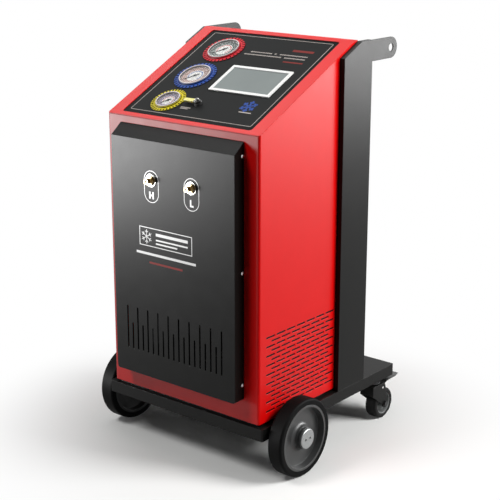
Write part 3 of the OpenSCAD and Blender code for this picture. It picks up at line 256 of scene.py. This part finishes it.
def letter(bm, word, size, at, weight=0.0):
    curve = bpy.data.curves.new("letter", "FONT")
    curve.body = word
    curve.size = size
    curve.offset = weight
    curve.align_x = "CENTER"
    curve.align_y = "CENTER"
    holder = bpy.data.objects.new("letter", curve)
    bpy.context.scene.collection.objects.link(holder)
    bpy.context.view_layer.update()
    shaped = holder.evaluated_get(bpy.context.evaluated_depsgraph_get())
    mesh = bpy.data.meshes.new_from_object(shaped)
    mesh.shade_flat()
    mesh.transform(Matrix.Translation((at[0], at[1], 0)))
    bm.from_mesh(mesh)
    bpy.data.objects.remove(holder)
    bpy.data.curves.remove(curve)
    bpy.data.meshes.remove(mesh)


def snow_star(bm, radius, line, at):
    twig_len, twig_root, twig_lean = radius * 0.34, radius * 0.55, math.radians(50)
    for k in range(6):
        before = set(bm.verts)
        tile(bm, radius, line, 0, (radius / 2, 0))
        for lean in (-twig_lean, twig_lean):
            grown = set(bm.verts)
            tile(bm, twig_len, line, 0, (twig_len / 2, 0))
            twig = [v for v in bm.verts if v not in grown]
            bmesh.ops.rotate(bm, verts=twig, matrix=Matrix.Rotation(lean, 3, "Z"))
            bmesh.ops.translate(bm, verts=twig, vec=(twig_root, 0, 0))
        spoke = [v for v in bm.verts if v not in before]
        bmesh.ops.rotate(bm, verts=spoke, matrix=Matrix.Rotation(math.radians(60 * k + 30), 3, "Z"))
        bmesh.ops.translate(bm, verts=spoke, vec=(at[0], at[1], 0))


white_ink = ink("white_screen_ink", "#f4f4f2", "#fefefd", roughness=0.34, sheen=1.0)
red_ink = ink("red_screen_ink", "#b5231c", "#d02a22", roughness=0.5, sheen=0.1)
upright = Matrix.Rotation(math.radians(90), 4, "X")
cover_face = Matrix.Translation((0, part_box("front_cover")[0].y, 0)) @ upright
cover_film = 0.00015
bar_corner = 0.001
port_x = 0.057
box_x, box_z = -0.019, 0.504
marks = bmesh.new()
for x in (-port_x, port_x):
    outline(marks, width=0.042, height=0.070, corner=0.0209, line=0.0013, at=(x, 0.616))
for sign, x in (("H", -port_x), ("L", port_x)):
    letter(marks, sign, size=0.020, at=(x, 0.5965), weight=0.0010)
outline(marks, width=0.152, height=0.042, corner=0, line=0.0018, at=(box_x, box_z))
snow_star(marks, radius=0.016, line=0.0016, at=(-0.074, box_z))
for width, height, at in ((0.092, 0.0065, (-0.001, 0.512)), (0.092, 0.0035, (-0.001, 0.500)),
                          (0.062, 0.0035, (-0.016, 0.492)), (0.172, 0.0055, (box_x, 0.466))):
    tile(marks, width, height, bar_corner, at)
thicken(marks, cover_film)
piece("cover_marks", marks, cover_face, white_ink, "chassis")
marks = bmesh.new()
tile(marks, width=0.096, height=0.0045, corner=bar_corner, at=(box_x, 0.447))
thicken(marks, cover_film)
piece("cover_red_mark", marks, cover_face, red_ink, "chassis")

# Service ports: turned brass flare fittings with hexagon and hollow thread end,
# clamped on nickel-plated washers. Pale faces toward the front and dark brown flanks:
# partly bright cut ends and tarnish, partly a painted highlight and painted shade.
# The bleed valve's nut has the washers' plate.

brass, gloss, spot = finish("turned_brass")
parts = add(brass, "ShaderNodeSeparateXYZ", {"Vector": spot.outputs["Normal"]})
# Faces square to the front get a pale brass colour and the others a dark brown one:
# partly freshly cut ends and tarnished flanks, partly a painted highlight on what faces
# the front and painted shade on the flanks
front_facing = -0.9
faced_and_highlit = add(brass, "ShaderNodeMath", {0: parts.outputs["Y"], 1: front_facing}, operation="LESS_THAN")
tone = add(brass, "ShaderNodeMix",
           {share: faced_and_highlit.outputs["Value"], first: linear("#5e471f"), second: linear("#d9c89c")},
           data_type="RGBA")
# Turning lines about 0.3 mm apart, drawn at 1 mm so that they show. A wave texture
# of scale 1 repeats every tau / 20
lines = add(brass, "ShaderNodeTexWave",
            {"Vector": spot.outputs["Object"], "Scale": math.tau / 20 / 0.001, "Distortion": 0.6},
            bands_direction="Y")
rough = add(brass, "ShaderNodeMapRange",
            {"Value": lines.outputs["Fac"], "To Min": 0.2, "To Max": 0.34})
plug(brass, gloss, {"Base Color": tone.outputs[mixed], "Metallic": 1.0,
                    "Roughness": rough.outputs["Result"]})
coat(brass, "high_side_port", "low_side_port")
nickel = plated("bright_nickel_plate", "#8f8f8b", patch=0.004, smoothest=0.16, roughest=0.3)
coat(nickel, "port_washers", "bleed_nut")

# Control panel: steel plate under the console window, faced with printed polyester
# film. Matt charcoal with a thin pale border, rows of plain strokes, bars and a blue
# snow star. A black band round its edge is painted shadow of the console's rim.

film, gloss, spot = finish("charcoal_polyester_film")
# Matt grit of the film, drawn at 2 mm so that it shows
grit = add(film, "ShaderNodeTexNoise",
           {"Vector": spot.outputs["Object"], "Scale": 1 / 0.002, "Detail": 2.0})
tone = add(film, "ShaderNodeMix",
           {share: grit.outputs["Fac"], first: linear("#1d1e1e"), second: linear("#252626")},
           data_type="RGBA")
bump = add(film, "ShaderNodeBump",
           {"Height": grit.outputs["Fac"], "Strength": 0.12, "Distance": 0.0002})
plug(film, gloss, {"Base Color": tone.outputs[mixed], "Roughness": 0.6,
                   "Specular IOR Level": 0.04, "Normal": bump.outputs["Normal"]})
coat(film, "control_panel")
pale_ink = ink("pale_screen_ink", "#c0b6b0", "#dad0c9", roughness=0.5, sheen=0.1)
# Ink for the painted shadow round the panel's edge
recess_shadow_ink = ink("recess_shadow_screen_ink", "#050505", "#0b0b0b", roughness=0.55, sheen=0.04)
dull_red_ink = ink("dull_red_screen_ink", "#772f2b", "#903732", roughness=0.55, sheen=0.05)
blue_ink = ink("blue_screen_ink", "#1d4598", "#2655b2", roughness=0.5, sheen=0.1)


def strokes(bm, start, stop, up, height):
    pitch, pen, steps = 0.0027, 0.0016, (0.72, 1.0, 0.72, 0.85)
    for k in range(int((stop - start) / pitch)):
        tile(bm, pen, height * steps[k % len(steps)], 0, (start + pitch * k, up))


# The console's plane starts at the front edge, and the panel lies under its sheet
slope = math.radians(26)
console_foot = 0.754
panel_drop = 0.00155
console = (Matrix.Translation((0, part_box("console_top")[0].y, console_foot))
           @ Matrix.Rotation(slope, 4, "X"))
panel_face = console @ Matrix.Translation((0, 0, -panel_drop))
panel_film = 0.00012
edge_film = 0.0001
small_corner = 0.0008
marks = bmesh.new()
outline(marks, width=0.337, height=0.3150, corner=0.004, line=0.0012, at=(0.001, 0.1835))
thicken(marks, panel_film)
piece("panel_border", marks, panel_face, pale_ink, "chassis")
# Black band round the panel's edge: painted shadow of the rim over the recessed panel
marks = bmesh.new()
outline(marks, width=0.361, height=0.3357, corner=0.0066, line=0.0095, at=(0, 0.18095))
thicken(marks, edge_film)
piece("panel_recess_shadow", marks, panel_face, recess_shadow_ink, "chassis")
marks = bmesh.new()
for up, rows in ((0.2825, ((-0.017, 0.044), (0.050, 0.058), (0.064, 0.140))),
                 (0.2720, ((-0.028, 0.076), (0.083, 0.141)))):
    for start, stop in rows:
        strokes(marks, start, stop, up, height=0.0042)
for width, height, at in ((0.027, 0.0024, (-0.031, 0.0567)), (0.021, 0.0024, (-0.033, 0.0525)),
                          (0.032, 0.0028, (0.123, 0.0680))):
    tile(marks, width, height, small_corner, at)
thicken(marks, panel_film)
piece("panel_bars", marks, panel_face, pale_ink, "chassis")
marks = bmesh.new()
tile(marks, width=0.056, height=0.0075, corner=bar_corner, at=(0.114, 0.3015))
tile(marks, width=0.053, height=0.0042, corner=small_corner, at=(0.115, 0.2575))
thicken(marks, panel_film)
piece("panel_red_bars", marks, panel_face, dull_red_ink, "chassis")
marks = bmesh.new()
snow_star(marks, radius=0.020, line=0.0040, at=(0.1175, 0.0895))
thicken(marks, panel_film)
piece("panel_snow_star", marks, panel_face, blue_ink, "chassis")

# Display: white moulded ABS frame round a switched-off panel of grey glass,
# clipped to the console from behind. Satin white, and a smooth dull grey.

white_abs, gloss, spot = finish("white_abs")
# Moulding texture, drawn at 2 mm so that it shows
mould = add(white_abs, "ShaderNodeTexNoise",
            {"Vector": spot.outputs["Object"], "Scale": 1 / 0.002})
edge = add(white_abs, "ShaderNodeBevel", {"Radius": 0.0008}, samples=4)
bump = add(white_abs, "ShaderNodeBump", {"Height": mould.outputs["Fac"], "Strength": 0.08,
                                         "Distance": 0.0002, "Normal": edge.outputs["Normal"]})
plug(white_abs, gloss, {"Base Color": linear("#ececea"), "Roughness": 0.4,
                        "Normal": bump.outputs["Normal"]})
coat(white_abs, "display_frame")
screen_glass, gloss, spot = finish("grey_display_glass")
# A faint change of tone over about 80 mm
fade = add(screen_glass, "ShaderNodeTexNoise",
           {"Vector": spot.outputs["Object"], "Scale": 1 / 0.08})
tone = add(screen_glass, "ShaderNodeMix",
           {share: fade.outputs["Fac"], first: linear("#7d8584"), second: linear("#8c9492")},
           data_type="RGBA")
plug(screen_glass, gloss, {"Base Color": tone.outputs[mixed], "Roughness": 0.45,
                           "Specular IOR Level": 0.08})
coat(screen_glass, "display_screen")

# Gauge boots: soft PVC rubber rings, notched round the rim, pulled over the cases.
# Dull skins in red, blue and yellow with moulding haze and rounded edges, and painted
# shade on the collar's flank and in the notches.

boots = {"red_gauge_boot": ("red_pvc_rubber", "#ca1225", "#e21a2b"),
         "blue_gauge_boot": ("blue_pvc_rubber", "#1d4395", "#2653ad"),
         "yellow_gauge_boot": ("yellow_pvc_rubber", "#e5cc19", "#ebe026")}
upward = Vector((0, -math.sin(slope), math.cos(slope)))
# The notches' floors lie 0.6 mm above the panel and the brim's top 1.8 mm
boot_unshaded_level = upward.dot(panel_face.translation) + 0.0012
flat_on = 0.9
# Share of the rubber colour kept in the painted shade
boot_shade_share = 0.12
for node, (name, dark, light) in boots.items():
    rubber, gloss, spot = finish(name)
    # Moulding haze of about 4 mm
    haze = add(rubber, "ShaderNodeTexNoise",
               {"Vector": spot.outputs["Object"], "Scale": 1 / 0.004, "Detail": 3.0})
    skin = add(rubber, "ShaderNodeMix",
               {share: haze.outputs["Fac"], first: linear(dark), second: linear(light)},
               data_type="RGBA")
    # Painted shade: faces that don't face up, and the notch floors, get the rubber colour
    # darkened, as the collar's flank and the notches lie in shade
    level = add(rubber, "ShaderNodeVectorMath", {0: spot.outputs["Object"], 1: upward},
                operation="DOT_PRODUCT")
    high = add(rubber, "ShaderNodeMath", {0: level.outputs["Value"], 1: boot_unshaded_level},
               operation="GREATER_THAN")
    faces = add(rubber, "ShaderNodeVectorMath", {0: spot.outputs["Normal"], 1: upward},
                operation="DOT_PRODUCT")
    open_top = add(rubber, "ShaderNodeMath", {0: faces.outputs["Value"], 1: flat_on},
                   operation="GREATER_THAN")
    boot_unshaded = add(rubber, "ShaderNodeMath", {0: high.outputs["Value"], 1: open_top.outputs["Value"]},
                operation="MULTIPLY")
    boot_shade_tone = [boot_shade_share * c for c in linear(dark)[:3]] + [1.0]
    tone = add(rubber, "ShaderNodeMix",
               {share: boot_unshaded.outputs["Value"], first: boot_shade_tone, second: skin.outputs[mixed]},
               data_type="RGBA")
    edge = add(rubber, "ShaderNodeBevel", {"Radius": 0.0007}, samples=4)
    plug(rubber, gloss, {"Base Color": tone.outputs[mixed], "Roughness": 0.5,
                         "Specular IOR Level": 0.1, "Normal": edge.outputs["Normal"]})
    coat(rubber, node)

# Gauge cases: drawn steel cups with rolled bezel rings, dull nickel plate.
# A greyish satin metal, a little uneven where the plate is thin.


def dulled(name, dark, light, patch, smoothest, roughest):
    # Tone and sheen change over a few millimetres
    plate, gloss, spot = finish(name)
    haze = add(plate, "ShaderNodeTexNoise",
               {"Vector": spot.outputs["Object"], "Scale": 1 / patch, "Detail": 3.0})
    tone = add(plate, "ShaderNodeMix",
               {share: haze.outputs["Fac"], first: linear(dark), second: linear(light)},
               data_type="RGBA")
    rough = add(plate, "ShaderNodeMapRange",
                {"Value": haze.outputs["Fac"], "To Min": smoothest, "To Max": roughest})
    plug(plate, gloss, {"Base Color": tone.outputs[mixed], "Metallic": 1.0,
                        "Roughness": rough.outputs["Result"]})
    return plate


case_nickel = dulled("dull_nickel_plate", "#767171", "#8a8585", patch=0.003, smoothest=0.26,
                     roughest=0.4)
coat(case_nickel, "red_gauge_case", "blue_gauge_case", "yellow_gauge_case")

# Gauge dials: white enamelled aluminium discs with printed scales and numbers,
# coloured bands, and black needles on their spindles. A grey, pink or mauve ring over
# each dial's outer part is painted shade under the bezel and painted reflection in the lens.

enamel, gloss, spot = finish("white_dial_enamel")
# The enamel's tone changes over about 10 mm
haze = add(enamel, "ShaderNodeTexNoise", {"Vector": spot.outputs["Object"], "Scale": 1 / 0.01})
tone = add(enamel, "ShaderNodeMix",
           {share: haze.outputs["Fac"], first: linear("#ebeae2"), second: linear("#ebebeb")},
           data_type="RGBA")
plug(enamel, gloss, {"Base Color": tone.outputs[mixed], "Roughness": 0.4,
                     "Specular IOR Level": 0.08})
coat(enamel, "gauge_dials")
black_ink = ink("black_dial_ink", "#141414", "#1e1e1e", roughness=0.5, sheen=0.08, patch=0.001)
coat(black_ink, "red_needle", "blue_needle", "yellow_needle")


def band(bm, inner, outer, start, stop):
    a = bm.verts.new((inner, 0, 0))
    b = bm.verts.new((outer, 0, 0))
    rule = bm.edges.new((a, b))
    bmesh.ops.rotate(bm, verts=[a, b], matrix=Matrix.Rotation(math.radians(start), 3, "Z"))
    bmesh.ops.spin(bm, geom=[a, b, rule], axis=(0, 0, 1), cent=(0, 0, 0),
                   angle=math.radians(stop - start), steps=48, use_merge=stop - start == 360)


# The scale runs clockwise from zero, at the lower left, over three quarters of a turn
zero, sweep = 225, 270
ticks_each = 5
# Lengths and widths of ticks, and the places and size of the numbers, in shares of the dial's reach
long_tick, short_tick = (0.14, 0.022), (0.08, 0.013)
tick_edge, number_place, number_size = 0.97, 0.68, 0.2
band_in, band_out, ring_in, ring_out = 0.47, 0.53, 0.6, 0.99
gauge_x = -0.092
dial_rise = 0.0012
bezel_lip = 0.0036
dial_film = 0.00008
ring_film = 0.00004
# The ring tones are painted shade and painted reflection over the dial's outer part
gauges = {"red": (0.277, 0.075, "red_rubber", red_ink, ("#676f6b", "#7a827e"), range(0, 36, 5)),
          "blue": (0.169, 0.075, "blue_rubber", blue_ink, ("#b59a92", "#caaea6"), range(0, 13, 2)),
          "yellow": (0.071, 0.057, "yellow_rubber", red_ink, ("#8c8195", "#a095a9"), range(0, 21, 4))}
for colour, (up, bezel, slot, band_ink, shade_tints, numbers) in gauges.items():
    dial = panel_face @ Matrix.Translation((gauge_x, up, dial_rise))
    reach = bezel / 2 - bezel_lip
    marks = bmesh.new()
    ticks = (len(numbers) - 1) * ticks_each
    for k in range(ticks + 1):
        long, thick = short_tick if k % ticks_each else long_tick
        before = set(marks.verts)
        tile(marks, reach * long, reach * thick, 0, (reach * (tick_edge - long / 2), 0))
        tick = [v for v in marks.verts if v not in before]
        turn = Matrix.Rotation(math.radians(zero - sweep * k / ticks), 3, "Z")
        bmesh.ops.rotate(marks, verts=tick, matrix=turn)
    for k, number in enumerate(numbers):
        angle = math.radians(zero - sweep * k / (len(numbers) - 1))
        at = Vector((math.cos(angle), math.sin(angle))) * reach * number_place
        letter(marks, str(number), reach * number_size, at)
    thicken(marks, dial_film)
    piece(colour + "_dial_scale", marks, dial, black_ink, "chassis")
    marks = bmesh.new()
    band(marks, reach * band_in, reach * band_out, zero - sweep, zero)
    thicken(marks, dial_film)
    piece(colour + "_dial_band", marks, dial, band_ink, "chassis")
    # A tinted ring over the dial's outer part: painted shade under the bezel and painted reflection
    # in the lens
    shade_tint_ink = ink(colour + "_dial_shade_tint_ink", *shade_tints, roughness=0.5, sheen=0.08)
    marks = bmesh.new()
    band(marks, reach * ring_in, reach * ring_out, 0, 360)
    thicken(marks, ring_film)
    piece(colour + "_dial_shade_tint", marks, dial, shade_tint_ink, "chassis")

# Gauge lenses: clear acrylic discs, turned and held under the bezel rings.
# They show as a faint gloss over the dials, slightly wavy.

lens, gloss, spot = finish("clear_acrylic_lens")
# Waves of about 20 mm
wave = add(lens, "ShaderNodeTexNoise", {"Vector": spot.outputs["Object"], "Scale": 1 / 0.02})
bump = add(lens, "ShaderNodeBump",
           {"Height": wave.outputs["Fac"], "Strength": 0.05, "Distance": 0.0003})
plug(lens, gloss, {"Base Color": linear("#f4f7f7"), "Roughness": 0.04, "IOR": 1.49, "Alpha": 0.04,
                   "Normal": bump.outputs["Normal"]})
coat(lens, "gauge_lenses")

# Bleed valve: black glass-filled nylon body with a vinyl-dipped yellow lever,
# held on its spindle by a plated nut. Dull black and a soft yellow gloss.
# Power inlet, rocker switch and solenoid coils are moulded in the same nylon.

nylon, gloss, spot = finish("black_nylon")
# Glass fibres at the surface, patches of about 1.2 mm
mould = add(nylon, "ShaderNodeTexNoise",
            {"Vector": spot.outputs["Object"], "Scale": 1 / 0.0012, "Detail": 2.0})
tone = add(nylon, "ShaderNodeMix",
           {share: mould.outputs["Fac"], first: linear("#141414"), second: linear("#202020")},
           data_type="RGBA")
edge = add(nylon, "ShaderNodeBevel", {"Radius": 0.0006}, samples=4)
plug(nylon, gloss, {"Base Color": tone.outputs[mixed], "Roughness": 0.45,
                    "Normal": edge.outputs["Normal"]})
coat(nylon, "bleed_valve", "power_inlet", "power_switch", "solenoid_coils")
vinyl, gloss, spot = finish("yellow_dipped_vinyl")
# Haze of about 5 mm from the dip
haze = add(vinyl, "ShaderNodeTexNoise", {"Vector": spot.outputs["Object"], "Scale": 1 / 0.005})
skin = add(vinyl, "ShaderNodeMix",
           {share: haze.outputs["Fac"], first: linear("#d8cf35"), second: linear("#e6de52")},
           data_type="RGBA")
# The dip ends 9 mm from the spindle, and the lever's eye is left black
dip_end = 0.009
spindle = panel_face @ Vector((-0.008, 0.0735, 0.0074))
away = add(vinyl, "ShaderNodeVectorMath", {0: spot.outputs["Object"], 1: spindle},
           operation="DISTANCE")
dipped = add(vinyl, "ShaderNodeMath", {0: away.outputs["Value"], 1: dip_end},
             operation="GREATER_THAN")
tone = add(vinyl, "ShaderNodeMix",
           {share: dipped.outputs["Value"], first: linear("#121212"), second: skin.outputs[mixed]},
           data_type="RGBA")
edge = add(vinyl, "ShaderNodeBevel", {"Radius": 0.001}, samples=4)
plug(vinyl, gloss, {"Base Color": tone.outputs[mixed], "Roughness": 0.35,
                    "Normal": edge.outputs["Normal"]})
coat(vinyl, "bleed_lever")

# Front wheels: solid rubber tyres on dished discs of moulded polypropylene,
# turning on a steel axle under dull zinc caps. Near black and dark grey, satin.

tyre_rubber, gloss, spot = finish("solid_tyre_rubber")
# Moulding grain of about 1 mm, drawn at 3 mm so that it shows
grain = add(tyre_rubber, "ShaderNodeTexNoise",
            {"Vector": spot.outputs["Object"], "Scale": 1 / 0.003, "Detail": 3.0})
tone = add(tyre_rubber, "ShaderNodeMix",
           {share: grain.outputs["Fac"], first: linear("#0a0a0a"), second: linear("#131313")},
           data_type="RGBA")
rough = add(tyre_rubber, "ShaderNodeMapRange",
            {"Value": grain.outputs["Fac"], "To Min": 0.44, "To Max": 0.6})
bump = add(tyre_rubber, "ShaderNodeBump",
           {"Height": grain.outputs["Fac"], "Strength": 0.15, "Distance": 0.0003})
plug(tyre_rubber, gloss, {"Base Color": tone.outputs[mixed], "Roughness": rough.outputs["Result"],
                          "Specular IOR Level": 0.03, "Normal": bump.outputs["Normal"]})
coat(tyre_rubber, "left_tyre", "right_tyre")
poly, gloss, spot = finish("grey_polypropylene")
# Flow marks of about 12 mm
flow = add(poly, "ShaderNodeTexNoise",
           {"Vector": spot.outputs["Object"], "Scale": 1 / 0.012, "Detail": 3.0})
tone = add(poly, "ShaderNodeMix",
           {share: flow.outputs["Fac"], first: linear("#222323"), second: linear("#2d2e2e")},
           data_type="RGBA")
rough = add(poly, "ShaderNodeMapRange",
            {"Value": flow.outputs["Fac"], "To Min": 0.36, "To Max": 0.46})
edge = add(poly, "ShaderNodeBevel", {"Radius": 0.0012}, samples=4)
plug(poly, gloss, {"Base Color": tone.outputs[mixed], "Roughness": rough.outputs["Result"],
                   "Normal": edge.outputs["Normal"]})
coat(poly, "left_wheel_disc", "right_wheel_disc")
cap_zinc = dulled("dull_zinc_cap", "#7b7d7d", "#999b9b", patch=0.004, smoothest=0.36, roughest=0.5)
coat(cap_zinc, "axle_caps")

# Caster wheels: black rubber tread moulded on a grey nylon hub.
# Dull rubber outside, and a smooth hub that catches the light.

caster_mix, gloss, spot = finish("caster_rubber_and_nylon")
low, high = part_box("right_caster_wheel")
hub = (0, (low.y + high.y) / 2, (low.z + high.z) / 2)
tread_inside = 0.026
flat = add(caster_mix, "ShaderNodeVectorMath", {0: spot.outputs["Object"], 1: (0, 1, 1)},
           operation="MULTIPLY")
away = add(caster_mix, "ShaderNodeVectorMath", {0: flat.outputs["Vector"], 1: hub},
           operation="DISTANCE")
tread = add(caster_mix, "ShaderNodeMath", {0: away.outputs["Value"], 1: tread_inside},
            operation="GREATER_THAN")
# Moulding grain of about 1 mm, drawn at 3 mm so that it shows
grain = add(caster_mix, "ShaderNodeTexNoise",
            {"Vector": spot.outputs["Object"], "Scale": 1 / 0.003, "Detail": 3.0})
rubber = add(caster_mix, "ShaderNodeMix",
             {share: grain.outputs["Fac"], first: linear("#0e0e0e"), second: linear("#191919")},
             data_type="RGBA")
hubs = add(caster_mix, "ShaderNodeMix",
           {share: grain.outputs["Fac"], first: linear("#626464"), second: linear("#727474")},
           data_type="RGBA")
tone = add(caster_mix, "ShaderNodeMix",
           {share: tread.outputs["Value"], first: hubs.outputs[mixed], second: rubber.outputs[mixed]},
           data_type="RGBA")
rough = add(caster_mix, "ShaderNodeMapRange",
            {"Value": tread.outputs["Value"], "To Min": 0.32, "To Max": 0.5})
plug(caster_mix, gloss, {"Base Color": tone.outputs[mixed], "Roughness": rough.outputs["Result"],
                         "Specular IOR Level": 0.08})
coat(caster_mix, "left_caster_wheel", "right_caster_wheel")

# Machinery behind the covers: welded steel vessels, cast and drawn aluminium,
# copper tube and a printed board. Enamel, bare metal and solder mask.

inside = {"recovery_tank": ("grey_tank_enamel", "#b3afa2", 0.0, 0.4),
          "compressor": ("black_machine_enamel", "#1a1a1c", 0.0, 0.4),
          "fan_motor": ("black_motor_enamel", "#222426", 0.0, 0.45),
          "vacuum_pump": ("blue_grey_enamel", "#4c555e", 0.0, 0.45),
          "filter_drier": ("green_drier_enamel", "#23573a", 0.0, 0.4),
          "tank_scale": ("plain_aluminium", "#c4c6c8", 1.0, 0.4),
          # The condenser's black is partly its enamel, partly painted shade, so the vents look dark
          # inside
          "condenser": ("black_fin_enamel_as_shade", "#161617", 0.0, 0.5),
          "valve_manifold": ("machined_aluminium", "#c8cacc", 1.0, 0.35),
          "cooling_fan": ("pale_nylon", "#c9c9c6", 0.0, 0.45),
          "control_board": ("green_solder_mask", "#16472a", 0.0, 0.35),
          "refrigerant_lines": ("drawn_copper", "#b87350", 1.0, 0.3)}
shade, smoother, rougher = 0.85, 0.06, 0.08
for node, (name, colour, metal, roughness) in inside.items():
    surface, gloss, spot = finish(name)
    # Handling marks of about 8 mm
    haze = add(surface, "ShaderNodeTexNoise",
               {"Vector": spot.outputs["Object"], "Scale": 1 / 0.008, "Detail": 3.0})
    dark = [shade * c for c in linear(colour)[:3]] + [1.0]
    tone = add(surface, "ShaderNodeMix",
               {share: haze.outputs["Fac"], first: dark, second: linear(colour)}, data_type="RGBA")
    rough = add(surface, "ShaderNodeMapRange",
                {"Value": haze.outputs["Fac"], "To Min": roughness - smoother,
                 "To Max": roughness + rougher})
    plug(surface, gloss, {"Base Color": tone.outputs[mixed], "Metallic": metal,
                          "Roughness": rough.outputs["Result"]})
    coat(surface, node)

# Studio: a pale matt floor that fades into white, soft boxes at the front left,
# at the right behind and overhead, cards that show in the coats' sheen only, and
# a camera at the viewing angle.


def looked_at(owner):
    path = add(owner, "ShaderNodeLightPath", {})
    shine = add(owner, "ShaderNodeMath",
                {0: path.outputs["Is Camera Ray"], 1: path.outputs["Is Glossy Ray"]},
                operation="MAXIMUM")
    through = add(owner, "ShaderNodeMath",
                  {0: shine.outputs["Value"], 1: path.outputs["Is Transmission Ray"]},
                  operation="MAXIMUM")
    return through.outputs["Value"]


white = (1, 1, 1, 1)
fade_start, fade_end = 0.24, 0.72
floor_paint, gloss, spot = finish("pale_studio_floor")
plug(floor_paint, gloss, {"Base Color": linear("#f6f6f4"), "Roughness": 0.7,
                          "Specular IOR Level": 0.2})
away = add(floor_paint, "ShaderNodeVectorMath", {0: spot.outputs["Object"]}, operation="LENGTH")
fade = add(floor_paint, "ShaderNodeMapRange",
           {"Value": away.outputs["Value"], "From Min": fade_start, "From Max": fade_end},
           interpolation_type="SMOOTHSTEP")
clear = add(floor_paint, "ShaderNodeBsdfTransparent", {})
glow = add(floor_paint, "ShaderNodeEmission", {"Color": white, "Strength": 1.0})
far = add(floor_paint, "ShaderNodeMixShader",
          {0: looked_at(floor_paint), 1: clear.outputs["BSDF"], 2: glow.outputs["Emission"]})
blend = add(floor_paint, "ShaderNodeMixShader",
            {0: fade.outputs["Result"], 1: gloss.outputs["BSDF"], 2: far.outputs["Shader"]})
plug(floor_paint, floor_paint.node_tree.nodes["Material Output"],
     {"Surface": blend.outputs["Shader"]})
floor_paint.cycles.emission_sampling = "NONE"
ground = bmesh.new()
bmesh.ops.create_circle(ground, cap_ends=True, segments=64, radius=2.4)
mesh = bpy.data.meshes.new("floor")
ground.to_mesh(mesh)
ground.free()
mesh.materials.append(floor_paint)
floor = bpy.data.objects.new("floor", mesh)
bpy.context.scene.collection.objects.link(floor)

world = bpy.data.worlds.new("white_room")
bpy.context.scene.world = world
world.use_nodes = True
room = world.node_tree.nodes["Background"]
plug(world, room, {"Color": white, "Strength": 0.03})
seen = add(world, "ShaderNodeBackground", {"Color": white, "Strength": 1.0})
sky = add(world, "ShaderNodeMixShader",
          {0: looked_at(world), 1: room.outputs["Background"], 2: seen.outputs["Background"]})
plug(world, world.node_tree.nodes["World Output"], {"Surface": sky.outputs["Shader"]})

# Place, size and power of each box or card, and whether it lights more than the sheen
boxes = {"front_left_box": ((-2.4, -4.2, 7.0), (2.4, 2.4), 285, True),
         "right_box": ((2.5, 0.9, 2.3), (1.4, 1.4), 115, True),
         "overhead_box": ((-0.6, -0.4, 6.4), (3.6, 3.6), 36, True),
         "top_sheen_card": ((-2.0, 0.6, 3.2), (1.6, 1.6), 34, False),
         "left_sheen_card": ((-1.95, -1.75, 0.36), (1.0, 0.6), 130, False),
         "right_sheen_card": ((1.9, 2.2, 0.95), (1.2, 1.2), 122, False)}
middle = Vector((0, 0, 0.5))
for name, (where, size, power, lights) in boxes.items():
    lamp = bpy.data.lights.new(name, "AREA")
    lamp.shape = "RECTANGLE"
    lamp.size, lamp.size_y = size
    lamp.energy = power
    holder = bpy.data.objects.new(name, lamp)
    holder.location = where
    holder.rotation_euler = (middle - Vector(where)).to_track_quat("-Z", "Y").to_euler()
    holder.visible_diffuse = lights
    bpy.context.scene.collection.objects.link(holder)

tilt, roll, heading = -16.27, -0.05, 39.31
lens_data = bpy.data.cameras.new("camera")
lens_data.sensor_width = 36
lens_data.lens = 91.98
camera = bpy.data.objects.new("camera", lens_data)
camera.location = (1.77447, -2.17414, 1.24611)
camera.rotation_euler = [math.radians(angle) for angle in (90 + tilt, roll, heading)]
bpy.context.scene.collection.objects.link(camera)
bpy.context.scene.camera = camera
bpy.context.scene.view_settings.view_transform = "Standard"
